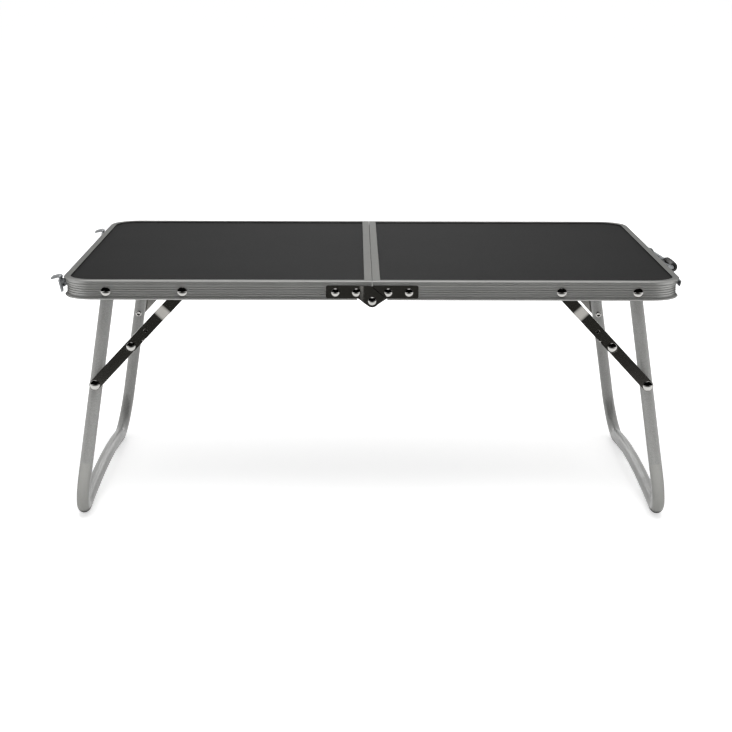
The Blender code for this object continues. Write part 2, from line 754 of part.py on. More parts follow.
def make_stay_rivets(word, face_word, face, top, frame, leg):
    """Rivets of one leg upright: leg to rail, stay to rail, and stay to leg."""
    ending = f"{word}_{face_word}"
    tube_out = LEG_SPACING + TUBE_RADIUS + GAP
    tube_in = LEG_SPACING - TUBE_RADIUS - GAP
    head = WEB_FACE + GAP
    through_tube = (SHANK_RADIUS, tube_out - tube_in)
    tail = (TAIL_RADIUS, TAIL_HEIGHT)
    stages = [
        (SHANK_RADIUS, head - WEB_BACK + GAP),
        (SHOULDER_RADIUS, WEB_BACK - GAP - tube_out),
        through_tube,
        tail,
    ]
    place = (top.x, face * head, top.y)
    rivet("leg_rivet_" + ending, word + "_half", place, face, HEAD_RADIUS, stages)
    stages = [(SHANK_RADIUS, head - UPPER_OUT + STAY_THICKNESS + GAP), tail]
    place = (frame.x, face * head, frame.y)
    rivet("stay_rivet_" + ending, word + "_half", place, face, HEAD_RADIUS, stages)
    head = LOWER_OUT + GAP
    stages = [
        (SHANK_RADIUS, STAY_THICKNESS + 2 * GAP),
        (SHOULDER_RADIUS, LOWER_OUT - STAY_THICKNESS - GAP - tube_out),
        through_tube,
        tail,
    ]
    place = (leg.x, face * head, leg.y)
    rivet("leg_stay_rivet_" + ending, "leg_" + word, place, face, HEAD_RADIUS, stages)


def latch_bracket_outline():
    """Foot, neck and barrel of a latch bracket, in X and Z from its pin."""
    base = LATCH_PIVOT_OUT + FACE_INSET - GAP
    sheet_out = base - BRACKET_SHEET
    top = LATCH_PIVOT_DROP - BRACKET_TOP
    bottom = LATCH_PIVOT_DROP - BRACKET_BOTTOM
    barrel = arc((0, 0), LATCH_PIN_RADIUS, 40, 320, 8)
    neck = barrel[0][1]
    above = [(base, top), (sheet_out, top), (sheet_out, neck)]
    below = [(sheet_out, -neck), (sheet_out, bottom), (base, bottom)]
    return [*above, *barrel, *below]


def latch_sheet_line():
    """The lever's sheet from wing to claw, in X and Z from its pin."""
    out = LATCH_PIVOT_OUT
    down = LATCH_PIVOT_DROP
    wing = (WING_REACH - WING_EDGE, WING_DROP)
    points = [wing, LATCH_APEX, LATCH_KNEE, CLAW_TIP]
    return [(out - x, down - z) for x, z in points]


def latch_lever_mesh():
    """The lever's bent sheet, tapering from its wing to its claw."""
    mesh = sheet([strip(latch_sheet_line(), LATCH_SHEET)], LATCH_WIDTH)
    knee = LATCH_PIVOT_DROP - LATCH_KNEE[1]
    tip = LATCH_PIVOT_DROP - CLAW_TIP[1]
    for vert in mesh.vertices:
        share = min(max((knee - vert.co.z) / (knee - tip), 0), 1)
        vert.co.y *= 1 - share * (1 - CLAW_WIDTH / LATCH_WIDTH)
    return mesh


def latch_ears():
    """Two ears that carry the lever on the bracket's pin."""
    line = latch_sheet_line()
    sheet_x = line[2][0] + (line[3][0] - line[2][0]) * line[2][1] / (line[2][1] - line[3][1])
    ring = arc((0, 0), EAR_RADIUS, 90, -90, 6)
    outline = [*ring, (sheet_x, -EAR_RADIUS), (sheet_x, EAR_RADIUS)]
    return outline


def latch_ear_depth():
    """Inner face of an ear from the latch's middle: as far out as the tapering sheet allows."""
    return CLAW_WIDTH / 2 + LATCH_SHEET


def make_latches():
    ear = latch_ear_depth()
    pin_half = ear + LATCH_SHEET
    neck_half = ear - GAP
    for face_word, face in FACES.items():
        middle = face * FITTING_PLACE
        place = (-HALF_LENGTH - LATCH_PIVOT_OUT, middle, -LATCH_PIVOT_DROP)
        mesh = sheet([latch_bracket_outline()], 2 * neck_half)
        piece = add("latch_bracket_" + face_word, mesh, "left_half", place, "fitting")
        pin = rods("latch_pin", [(0, 0)], LATCH_PIN_RADIUS - PIN_SLACK, -pin_half, pin_half, 8)
        shape_with(piece, pin, "UNION", "latch_pin_" + face_word)
        lever = latch_lever_mesh()
        piece = add("latch_lever_" + face_word, lever, "latch_" + face_word, place, "fitting")
        for number, way in (("a", -1), ("b", 1)):
            hole = circle((0, 0), LATCH_PIN_RADIUS + GAP, 8)
            mesh = sheet([latch_ears(), hole], LATCH_SHEET)
            mesh.transform(Matrix.Translation((0, way * (ear + LATCH_SHEET / 2), 0)))
            shape_with(piece, mesh, "UNION", f"latch_ear_{face_word}_{number}")


def make_catches():
    base = FACE_INSET - GAP - BRACKET_SHEET / 2
    line = [(-base, CATCH_BASE), (-base, CATCH_SHOULDER), CATCH_BEND, CATCH_TIP]
    points = [(x, -z) for x, z in line]
    for face_word, face in FACES.items():
        mesh = sheet([strip(points, BRACKET_SHEET)], CATCH_WIDTH)
        place = (HALF_LENGTH, face * FITTING_PLACE, 0)
        add("catch_" + face_word, mesh, "right_half", place, "fitting")


def grip_line(extra):
    """The grip's centre line as (along, out), from front to back; extra runs on past its ends."""
    radius = (GRIP_HALF**2 + GRIP_SAGITTA**2) / (2 * GRIP_SAGITTA)
    reach = degrees(asin((GRIP_HALF + extra) / radius))
    out = handle_out()
    return [(x, z) for x, z in arc((0, out - radius), radius, 90 + reach, 90 - reach, GRIP_STEPS)]


def handle_out():
    """How far the grip's middle stands from the handle's pivot axis."""
    return (HANDLE_REACH - GRIP_RADIUS - HANDLE_PIVOT_OUT) / cos(radians(HANDLE_DROOP))


def bail_path():
    """Front pin, arm, grip core, arm and back pin of the wire bail, as (along, out)."""
    spread = HANDLE_PIVOT_SPREAD
    pin = (PIN_LENGTH - spread, 0)
    corner = arc((BAIL_BEND - spread, BAIL_BEND), BAIL_BEND, 270, 180, 3)
    core = grip_line(PAST)
    lead = [pin, *corner, (-spread, ARM_STRAIGHT)]
    return [*lead, *core, *((-x, z) for x, z in reversed(lead))]


def round_bar(path, radius, sides):
    """A round bar along a path of (along, out) points, in the handle's plane."""
    mesh = tube(path, radius, sides)
    mesh.transform(upright().inverted())
    droop = radians(HANDLE_DROOP)
    frame = Matrix((
        (0, cos(droop), sin(droop), 0),
        (1, 0, 0, 0),
        (0, -sin(droop), cos(droop), 0),
        (0, 0, 0, 1),
    ))
    mesh.transform(frame)
    mesh.flip_normals()
    return mesh


def make_handle():
    place = PLACES["handle"]
    add("handle_bail", round_bar(bail_path(), BAIL_RADIUS, 8), "handle", place, "fitting")
    piece = add("handle_grip", round_bar(grip_line(0), GRIP_RADIUS, 12), "handle", place, "grip")
    bore = round_bar(grip_line(2 * PAST), BAIL_RADIUS + GAP, 8)
    shape_with(piece, bore, "DIFFERENCE", "grip_bore")
    foot = HALF_LENGTH - FACE_INSET + GAP - place.x
    for face_word, face in FACES.items():
        tip = arc((0, 0), HANDLE_EAR_RADIUS, 90, -90, 8)
        outline = [*tip, (foot, -HANDLE_EAR_RADIUS), (foot, HANDLE_EAR_RADIUS)]
        ear = sheet([outline, circle((0, 0), BAIL_RADIUS + GAP)], HANDLE_EAR_WIDTH)
        middle = face * (HANDLE_PIVOT_SPREAD - BAIL_BEND - 3 * GAP - HANDLE_EAR_WIDTH / 2)
        spot = (place.x, middle, place.z)
        piece = add("handle_bracket_" + face_word, ear, "right_half", spot, "fitting")
        low = (foot, -HANDLE_BASE_WIDTH / 2, -HANDLE_BASE_HALF)
        high = (foot + HANDLE_BASE, HANDLE_BASE_WIDTH / 2, HANDLE_BASE_HALF)
        base = boxes("base", [(low, high)])
        shape_with(piece, base, "UNION", "handle_base_" + face_word)


def make_bodies():
    """The two halves and everything that turns on them."""
    new_body("left_half", None, (0, 0, 0)).location = (CENTRE_SHIFT, 0, TOP_HEIGHT)
    new_body("right_half", "left_half", (0, 0, -HINGE_DROP))
    for word, side in SIDES.items():
        top, frame, leg, middle = stay_points(side)
        new_body("leg_" + word, word + "_half", (top.x, 0, top.y))
        for face_word in FACES:
            ending = f"{word}_{face_word}"
            new_body("stay_upper_" + ending, word + "_half", (frame.x, 0, frame.y))
            new_body("stay_lower_" + ending, "leg_" + word, (leg.x, 0, leg.y))
    for face_word, face in FACES.items():
        place = (-HALF_LENGTH - LATCH_PIVOT_OUT, face * FITTING_PLACE, -LATCH_PIVOT_DROP)
        new_body("latch_" + face_word, "left_half", place)
    new_body("handle", "right_half", (HALF_LENGTH + HANDLE_PIVOT_OUT, 0, -HANDLE_PIVOT_DROP))


clear_scene()
PARTS = new_collection(TABLE)
TOOLS = new_collection("cutters")
FINISHES = finishes()
make_bodies()
make_top()
make_hinges()
make_legs()
make_stays()
make_latches()
make_catches()
make_handle()
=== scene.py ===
"""Looks of a low folding table: its finished pieces, their materials, the studio and the camera."""

import json
from math import acos, asin, atan, atan2, ceil, cos, degrees, hypot, pi, radians, sin, tan

import bmesh
import bpy
from mathutils import Matrix, Vector


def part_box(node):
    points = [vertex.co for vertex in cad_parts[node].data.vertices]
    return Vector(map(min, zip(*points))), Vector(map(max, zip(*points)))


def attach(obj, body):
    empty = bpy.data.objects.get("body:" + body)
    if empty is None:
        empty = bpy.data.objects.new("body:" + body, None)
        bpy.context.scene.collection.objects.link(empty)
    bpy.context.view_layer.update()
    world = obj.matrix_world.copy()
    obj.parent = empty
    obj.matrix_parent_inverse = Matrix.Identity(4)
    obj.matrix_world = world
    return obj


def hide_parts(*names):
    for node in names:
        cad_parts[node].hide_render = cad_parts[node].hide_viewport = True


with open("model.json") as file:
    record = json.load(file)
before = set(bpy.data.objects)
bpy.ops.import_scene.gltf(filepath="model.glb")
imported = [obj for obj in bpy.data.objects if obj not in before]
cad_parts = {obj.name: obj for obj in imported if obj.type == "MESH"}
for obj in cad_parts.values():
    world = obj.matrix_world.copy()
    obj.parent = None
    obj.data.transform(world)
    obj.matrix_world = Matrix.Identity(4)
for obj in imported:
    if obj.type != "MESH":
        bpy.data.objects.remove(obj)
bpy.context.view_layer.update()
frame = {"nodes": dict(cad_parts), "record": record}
nodes = frame["nodes"]
body_of_node = {
    node: body
    for body, members in frame["record"]["behaviour"]["bodies"].items()
    for node in members
}

MM = 0.001
SIDES = {"left": -1, "right": 1}
FACES = {"front": -1, "back": 1}

# Places that the frame gives: the seam between the halves, the top face and the top's half sizes
SEAM = (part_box("left_rail")[1].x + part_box("right_rail")[0].x) / 2
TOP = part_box("left_rail")[1].z
HALF_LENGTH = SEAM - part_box("left_rail")[0].x
HALF_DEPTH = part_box("left_rail")[1].y


def midpoint(node):
    """The middle of a node, seen along Y: for a rivet, its axis."""
    low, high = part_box(node)
    return Vector(((low.x + high.x) / 2, 0, (low.z + high.z) / 2))


# Outlines and bent lines

def in_metres(points):
    return [tuple(c * MM for c in p) for p in points]


def arc(centre, radius, start, stop, steps):
    angles = [radians(start + (stop - start) * i / steps) for i in range(steps + 1)]
    return [(centre[0] + radius * cos(a), centre[1] + radius * sin(a)) for a in angles]


def circle(radius, sides):
    return arc((0, 0), radius, 0, 360, sides)[:-1]


def eased(corners, steps=4):
    """A closed outline from corners (x, y) or (x, y, radius), each rounded to its radius."""
    points = []
    for i, corner in enumerate(corners):
        here = Vector(corner[:2])
        if len(corner) == 2:
            points.append(tuple(here))
            continue
        back = (Vector(corners[i - 1][:2]) - here).normalized()
        on = (Vector(corners[(i + 1) % len(corners)][:2]) - here).normalized()
        half = acos(max(-1, min(1, back.dot(on)))) / 2
        centre = here + (back + on).normalized() * corner[2] / sin(half)
        first = here + back * corner[2] / tan(half) - centre
        last = here + on * corner[2] / tan(half) - centre
        span = atan2(first.x * last.y - first.y * last.x, first.dot(last))
        for k in range(steps + 1):
            points.append(tuple(centre + Matrix.Rotation(span * k / steps, 2) @ first))
    return points


def bent(start, heading, *moves, step=6):
    """Stations (x, y, heading) along a line bent in a plane.

    A move is a length, or (radius, degrees) for a bend to the left.
    """
    x, y = start
    way = radians(heading)
    stations = [(x, y, way)]
    for move in moves:
        if isinstance(move, tuple):
            radius, turn = move[0], radians(move[1])
            side = 1 if turn > 0 else -1
            count = max(2, ceil(abs(move[1]) / step))
            centre = (x - side * radius * sin(way), y + side * radius * cos(way))
            for i in range(1, count + 1):
                a = way + turn * i / count
                stations.append(
                    (centre[0] + side * radius * sin(a), centre[1] - side * radius * cos(a), a)
                )
            way += turn
        else:
            stations.append((x + move * cos(way), y + move * sin(way), way))
        x, y = stations[-1][:2]
    return stations


def through(corners, radii):
    """Stations along straight runs between corners, rounded at each by its radius."""
    headings = [degrees(atan2(b[1] - a[1], b[0] - a[0])) for a, b in zip(corners, corners[1:])]
    turns = [(b - a + 180) % 360 - 180 for a, b in zip(headings, headings[1:])] + [0]
    moves, cut_before = [], 0
    for i, (a, b) in enumerate(zip(corners, corners[1:])):
        cut = radii[i + 1] * tan(radians(abs(turns[i])) / 2)
        moves.append(hypot(b[0] - a[0], b[1] - a[1]) - cut - cut_before)
        if turns[i]:
            moves.append((radii[i + 1], turns[i]))
        cut_before = cut
    return bent(corners[0], headings[0], *moves, step=10)


def sheet_outline(stations, thickness):
    """The edge of a sheet seen side on, half its thickness to each side of these stations."""
    half = thickness / 2
    left = [(x - half * sin(a), y + half * cos(a)) for x, y, a in stations]
    right = [(x + half * sin(a), y - half * cos(a)) for x, y, a in stations]
    return left + right[::-1]


# Building in mesh code

# Stands a plane of stations upright, front to back
UPRIGHT = Matrix(((0, 0, 1, 0), (1, 0, 0, 0), (0, 1, 0, 0), (0, 0, 0, 1)))


def ring_of(shape, points, across):
    """Edges round a section, whose corners keep how far round it they lie."""
    verts = [shape.verts.new(p) for p in points]
    length = 0
    for vert, before in zip(verts, [verts[0], *verts]):
        length += (vert.co - before.co).length
        vert[across] = length
    return [shape.edges.new(pair) for pair in zip(verts, verts[1:] + verts[:1])]


def carried(shape, section, stations, plane=Matrix.Identity(4), shares=None):
    """Extrudes a section, drawn as (to the right, up), along stations, and closes its ends."""
    across = shape.verts.layers.float.get("across") or shape.verts.layers.float.new("across")
    places = []
    for i, (x, y, way) in enumerate(stations):
        place = plane @ Matrix.Translation((x, y, 0)) @ Matrix.Rotation(way - pi / 2, 4, "Z")
        share = shares[i] if shares else 1
        places.append(place @ Matrix.Rotation(pi / 2, 4, "X") @ Matrix.Scale(share, 4))
    edges = ring_of(shape, [places[0] @ Vector((u, v, 0)) for u, v in section], across)
    bmesh.ops.contextual_create(shape, geom=edges)
    for before, after in zip(places, places[1:]):
        made = bmesh.ops.extrude_edge_only(shape, edges=edges)["geom"]
        verts = {item for item in made if isinstance(item, bmesh.types.BMVert)}
        edges = [
            item for item in made
            if isinstance(item, bmesh.types.BMEdge) and verts.issuperset(item.verts)
        ]
        bmesh.ops.transform(shape, matrix=after @ before.inverted(), verts=list(verts))
    bmesh.ops.contextual_create(shape, geom=edges)


def plate(shape, outline, thickness, holes=()):
    """A flat piece cut from sheet, upright in X and Z, its thickness centred on Y."""
    edges = []
    for loop in (outline, *holes):
        verts = [shape.verts.new((x, -thickness / 2, z)) for x, z in loop]
        edges += [shape.edges.new(pair) for pair in zip(verts, verts[1:] + verts[:1])]
    if holes:
        made = bmesh.ops.triangle_fill(shape, use_beauty=True, edges=edges)["geom"]
    else:
        made = bmesh.ops.contextual_create(shape, geom=edges)["faces"]
    faces = [item for item in made if isinstance(item, bmesh.types.BMFace)]
    raised = bmesh.ops.extrude_face_region(shape, geom=faces)["geom"]
    verts = [item for item in raised if isinstance(item, bmesh.types.BMVert)]
    bmesh.ops.translate(shape, vec=(0, thickness, 0), verts=verts)
    bmesh.ops.recalc_face_normals(shape, faces=shape.faces)


def break_edges(shape, width, segments=2, over=40):
    """Takes the sharpness off every edge that turns by more than this angle."""
    shape.normal_update()
    edges = [
        e for e in shape.edges
        if len(e.link_faces) == 2 and e.calc_face_angle() > radians(over)
    ]
    bmesh.ops.bevel(
        shape, geom=edges, offset=width, offset_type="OFFSET", segments=segments, profile=0.5,
        affect="EDGES", material=-1, clamp_overlap=True,
    )


def turned(shape, profile, sides=40):
    """A profile of (radius, height) points spun about Z into a closed piece."""
    verts = [shape.verts.new((radius, 0, height)) for radius, height in profile]
    edges = [shape.edges.new(pair) for pair in zip(verts, verts[1:])]
    bmesh.ops.spin(
        shape, geom=verts + edges, cent=(0, 0, 0), axis=(0, 0, 1), angle=2 * pi,
        steps=sides, use_merge=True,
    )
    bmesh.ops.remove_doubles(shape, verts=shape.verts, dist=0.002 * MM)
    bmesh.ops.recalc_face_normals(shape, faces=shape.faces)


def join(shape, other, place=Matrix.Identity(4)):
    """Adds another shape, set in its place, to this one."""
    mesh = bpy.data.meshes.new("joined")
    other.transform(place)
    other.to_mesh(mesh)
    other.free()
    shape.from_mesh(mesh)
    bpy.data.meshes.remove(mesh)


def block(shape, low, high, width, segments=2):
    """A small solid with broken edges, joined to what it belongs to."""
    made = bmesh.new()
    middle = (Vector(low) + Vector(high)) / 2
    size = Vector(high) - Vector(low)
    place = Matrix.Translation(middle) @ Matrix.Diagonal((*size, 1))
    bmesh.ops.create_cube(made, size=1, matrix=place)
    break_edges(made, width, segments)
    join(shape, made)


def as_object(name, shape, material):
    mesh = bpy.data.meshes.new(name)
    shape.to_mesh(mesh)
    shape.free()
    mesh.materials.append(material)
    made = bpy.data.objects.new(name, mesh)
    bpy.context.scene.collection.objects.link(made)
    return made


def put(node, shape, place, sharp=32):
    """Finishes a piece: it stands for this node, rides on its body and takes its material slot."""
    shape.transform(place)
    bmesh.ops.recalc_face_normals(shape, faces=shape.faces)
    slot = nodes[node].data.materials[0].name
    piece = as_object("finished_" + node, shape, FINISHES[slot])
    piece.data.shade_smooth()
    piece.data.set_sharp_from_angle(angle=radians(sharp))
    # Flat faces stay flat up to their broken edges
    flat = piece.modifiers.new("flat_faces", "WEIGHTED_NORMAL")
    flat.keep_sharp = True
    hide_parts(node)
    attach(piece, body_of_node[node])


# Materials

# Sockets of a colour mix, by place, because its names stand for other kinds of value too
SHARE, FIRST, SECOND, MIXED = 0, 6, 7, 2
# The part of its range in which most of a noise lies
NOISE_SPAN = {"From Min": 0.3, "From Max": 0.7}


def linear(hex_colour):
    """An sRGB hex colour as the linear one that the nodes take."""
    parts = [int(hex_colour[i : i + 2], 16) / 255 for i in (0, 2, 4)]
    return [p / 12.92 if p <= 0.04045 else ((p + 0.055) / 1.055) ** 2.4 for p in parts] + [1]


def add_node(tree, kind, inputs=None, **settings):
    """Adds a node with its settings; an input is a value, or a (node, output) pair to link."""
    made = tree.nodes.new("ShaderNode" + kind)
    for name, value in settings.items():
        setattr(made, name, value)
    for socket, value in (inputs or {}).items():
        if isinstance(value, tuple) and isinstance(value[0], bpy.types.Node):
            tree.links.new(value[0].outputs[value[1]], made.inputs[socket])
        else:
            made.inputs[socket].default_value = value
    return made


def new_finish(name, **constants):
    made = bpy.data.materials.new(name)
    made.use_nodes = True
    shader = made.node_tree.nodes["Principled BSDF"]
    for socket, value in constants.items():
        shader.inputs[socket.replace("_", " ")].default_value = value
    return made, made.node_tree, shader


def link_up(tree, shader, tone, rough, bump):
    """Gives a shader its colour, its roughness and its fine relief."""
    tree.links.new(tone.outputs[MIXED], shader.inputs["Base Color"])
    tree.links.new(rough.outputs[0], shader.inputs["Roughness"])
    tree.links.new(bump.outputs[0], shader.inputs["Normal"])


def extruded_aluminium():
    """Anodised aluminium drawn through a die: satin grey, finely lined, duller at low angles."""
    made, tree, shader = new_finish(
        "extruded_anodised_aluminium",
        Metallic=0.72, Specular_IOR_Level=0.0, Specular_Tint=(0.12, 0.12, 0.12, 1),
    )
    across = add_node(tree, "Attribute", attribute_name="across")
    place = add_node(tree, "TexCoord")
    # Die lines 0.35 mm apart, drawn out along the bar
    line = add_node(tree, "CombineXYZ", {"X": (across, "Fac")})
    lines = add_node(tree, "TexNoise", {"Vector": (line, 0), "Scale": 2900, "Detail": 3.0})
    # Handling and anodising clouds about 25 mm across
    clouds = add_node(tree, "TexNoise", {"Vector": (place, "Object"), "Scale": 40, "Detail": 3.0})
    tone = add_node(
        tree, "Mix", {SHARE: (clouds, "Fac"), FIRST: linear("a0a09e"), SECOND: linear("a8a8a6")},
        data_type="RGBA",
    )
    streak = add_node(
        tree, "MapRange", {"Value": (lines, "Fac"), **NOISE_SPAN, "To Min": 0.84, "To Max": 1.10},
    )
    shade = add_node(
        tree, "Mix", {SHARE: 1.0, FIRST: (tone, MIXED), SECOND: (streak, 0)},
        data_type="RGBA", blend_type="MULTIPLY",
    )
    rough = add_node(
        tree, "MapRange", {"Value": (clouds, "Fac"), **NOISE_SPAN, "To Min": 0.29, "To Max": 0.38},
    )
    bump = add_node(
        tree, "Bump", {"Height": (lines, "Fac"), "Strength": 0.25, "Distance": 0.06 * MM},
    )
    link_up(tree, shader, shade, rough, bump)
    return made


def melamine_panel():
    """Charcoal melamine laminate, pressed with a fine pebble: matt, with hardly any sheen."""
    made, tree, shader = new_finish("melamine_laminate", IOR=1.45, Specular_IOR_Level=0.006)
    place = add_node(tree, "TexCoord")
    # Pebble 0.9 mm across, and flecks half as coarse again
    pebble = add_node(
        tree, "TexVoronoi", {"Vector": (place, "Object"), "Scale": 1100}, feature="SMOOTH_F1",
    )
    fleck = add_node(tree, "TexNoise", {"Vector": (place, "Object"), "Scale": 700, "Detail": 4.0})
    # Soft pools of tone about 120 mm across, from the print and the light
    pools = add_node(tree, "TexNoise", {"Vector": (place, "Object"), "Scale": 8, "Detail": 2.0})
    tone = add_node(
        tree, "Mix", {SHARE: (pools, "Fac"), FIRST: linear("222222"), SECOND: linear("262626")},
        data_type="RGBA",
    )
    grain = add_node(
        tree, "MapRange", {"Value": (fleck, "Fac"), **NOISE_SPAN, "To Min": 0.90, "To Max": 1.12},
    )
    shade = add_node(
        tree, "Mix", {SHARE: 1.0, FIRST: (tone, MIXED), SECOND: (grain, 0)},
        data_type="RGBA", blend_type="MULTIPLY",
    )
    rough = add_node(
        tree, "MapRange", {"Value": (fleck, "Fac"), **NOISE_SPAN, "To Min": 0.54, "To Max": 0.64},
    )
    bump = add_node(
        tree, "Bump", {"Height": (pebble, "Distance"), "Strength": 0.25, "Distance": 0.08 * MM},
    )
    link_up(tree, shader, shade, rough, bump)
    return made


def lacquered_tube():
    """Tube sprayed with silver powder lacquer: soft grey, with fine metal grain and orange peel."""
    made, tree, shader = new_finish(
        "silver_powder_lacquer", Metallic=0.35, Coat_Weight=0.15, Coat_Roughness=0.3,
    )
    place = add_node(tree, "TexCoord")
    # Aluminium flakes, drawn 0.6 mm across so that they show
    flakes = add_node(tree, "TexVoronoi", {"Vector": (place, "Object"), "Scale": 1600})
    glint = add_node(tree, "SeparateColor", {"Color": (flakes, "Color")})
    # Orange peel 2.4 mm across, and wear about 30 mm across
    peel = add_node(tree, "TexNoise", {"Vector": (place, "Object"), "Scale": 420, "Detail": 3.0})
    worn = add_node(tree, "TexNoise", {"Vector": (place, "Object"), "Scale": 35, "Detail": 3.0})
    tone = add_node(
        tree, "Mix", {SHARE: (worn, "Fac"), FIRST: linear("848482"), SECOND: linear("8e8e8c")},
        data_type="RGBA",
    )
    spark = add_node(tree, "MapRange", {"Value": (glint, 0), "To Min": 0.88, "To Max": 1.12})
    shade = add_node(
        tree, "Mix", {SHARE: 1.0, FIRST: (tone, MIXED), SECOND: (spark, 0)},
        data_type="RGBA", blend_type="MULTIPLY",
    )
    rough = add_node(
        tree, "MapRange", {"Value": (worn, "Fac"), **NOISE_SPAN, "To Min": 0.36, "To Max": 0.46},
    )
    bump = add_node(tree, "Bump", {"Height": (peel, "Fac"), "Strength": 0.3, "Distance": 0.08 * MM})
    link_up(tree, shader, shade, rough, bump)
    return made


def plated_steel(name, colours, roughness, scratch):
    """Pressed steel, bright plated: mirror bright, with faint rubbing marks from the barrel."""
    made, tree, shader = new_finish(name, Metallic=1.0)
    place = add_node(tree, "TexCoord")
    # Rubbing marks 0.5 mm wide and some 8 mm long
    slanted = add_node(
        tree, "Mapping",
        {"Vector": (place, "Object"), "Rotation": (0, 0.75, 0), "Scale": (120, 900, 2000)},
    )
    marks = add_node(tree, "TexNoise", {"Vector": (slanted, 0), "Scale": 1.0, "Detail": 3.0})
    # Clouds in the plating about 11 mm across
    cloud = add_node(tree, "TexNoise", {"Vector": (place, "Object"), "Scale": 90, "Detail": 2.0})
    tone = add_node(
        tree, "Mix", {SHARE: (cloud, "Fac"), FIRST: linear(colours[0]), SECOND: linear(colours[1])},
        data_type="RGBA",
    )
    rough = add_node(
        tree, "MapRange",
        {"Value": (marks, "Fac"), **NOISE_SPAN, "To Min": roughness[0], "To Max": roughness[1]},
    )
    bump = add_node(
        tree, "Bump", {"Height": (marks, "Fac"), "Strength": scratch, "Distance": 0.03 * MM},
    )
    link_up(tree, shader, tone, rough, bump)
    return made


def zinc_plate():
    """Stamped steel, zinc plated and passivated: bluish grey and dull, with a crystal bloom."""
    made, tree, shader = new_finish(
        "zinc_plated_steel",
        Metallic=0.88, Specular_IOR_Level=0.0, Specular_Tint=(0.5, 0.5, 0.5, 1),
    )
    place = add_node(tree, "TexCoord")
    # Crystal bloom 1.5 mm across, and grime about 6 mm across
    bloom = add_node(tree, "TexVoronoi", {"Vector": (place, "Object"), "Scale": 650})
    cell = add_node(tree, "SeparateColor", {"Color": (bloom, "Color")})
    grime = add_node(tree, "TexNoise", {"Vector": (place, "Object"), "Scale": 160, "Detail": 4.0})
    tone = add_node(
        tree, "Mix", {SHARE: (cell, 0), FIRST: linear("8c8e90"), SECOND: linear("a0a2a4")},
        data_type="RGBA",
    )
    rough = add_node(
        tree, "MapRange", {"Value": (grime, "Fac"), **NOISE_SPAN, "To Min": 0.38, "To Max": 0.54},
    )
    bump = add_node(
        tree, "Bump", {"Height": (grime, "Fac"), "Strength": 0.2, "Distance": 0.05 * MM},
    )
    link_up(tree, shader, tone, rough, bump)
    return made


def moulded_plastic(name, colours, roughness, grain, painted_sole_shade=None):
    """Plastic moulded with a fine even grain, matt; a sole gets black painted shade underneath."""
    made, tree, shader = new_finish(name, IOR=1.49, Specular_IOR_Level=0.03)
    place = add_node(tree, "TexCoord")
    skin = add_node(
        tree, "TexNoise", {"Vector": (place, "Object"), "Scale": 1 / (grain * MM), "Detail": 3.0},
    )
    tone = add_node(
        tree, "Mix", {SHARE: (skin, "Fac"), FIRST: linear(colours[0]), SECOND: linear(colours[1])},
        data_type="RGBA",
    )
    if painted_sole_shade:
        # Painted shade where it meets the ground, fading out over the lowest 10 mm of the piece
        height = add_node(tree, "SeparateXYZ", {0: (place, "Object")})
        sole_shade_mask = add_node(
            tree, "MapRange",
            {
                "Value": (height, "Z"), "From Min": 4.5 * MM, "From Max": 10 * MM,
                "To Min": 1.0, "To Max": 0.0,
            },
        )
        tone = add_node(
            tree, "Mix", {SHARE: (sole_shade_mask, 0), FIRST: (tone, MIXED), SECOND: linear(painted_sole_shade)},
            data_type="RGBA",
        )
    rough = add_node(
        tree, "MapRange",
        {"Value": (skin, "Fac"), **NOISE_SPAN, "To Min": roughness[0], "To Max": roughness[1]},
    )
    bump = add_node(tree, "Bump", {"Height": (skin, "Fac"), "Strength": 0.4, "Distance": 0.1 * MM})
    link_up(tree, shader, tone, rough, bump)
    return made


FINISHES = {
    "satin_aluminium": extruded_aluminium(),
    "dark_laminate": melamine_panel(),
    "silver_lacquer": lacquered_tube(),
    "polished_steel": plated_steel("nickel_plated_steel", ("8e8c88", "989692"), (0.11, 0.17), 0.2),
    "bright_rivet": plated_steel("bright_rivet_steel", ("b0afac", "bab9b6"), (0.05, 0.10), 0.1),
    "zinc_fitting": zinc_plate(),
    "black_plastic": moulded_plastic("black_abs", ("070707", "0b0b0b"), (0.32, 0.44), 0.6),
    # The black at the foot of each sleeve is painted shade where it meets the ground
    "dark_rubber": moulded_plastic(
        "grey_vinyl_sleeve", ("8c8c89", "969693"), (0.44, 0.56), 0.8, painted_sole_shade="1c1c1b",
    ),
}

# The panels are the frame's own, with their finish
for word in SIDES:
    nodes[word + "_panel"].data.materials[0] = FINISHES["dark_laminate"]


# Table top: edge rails and centre trims, their sections in millimetres

CORNER = 32 * MM
GAP = 0.3 * MM
SLOT_TOP, SLOT_BOTTOM, LEDGE = -1.2, -4.6, -5.5
RIBS, RIB_TOP, RIB_PITCH = 4, -7.3, 2.25
RIB_FACE, GROOVE_FACE = 3.1, 4.1
# The foot stops short of the seam, to clear the hinge's pivot
FOOT_END = 14.5 * MM
CAP_END, STRIP_END = 7.0 * MM, 9.3 * MM


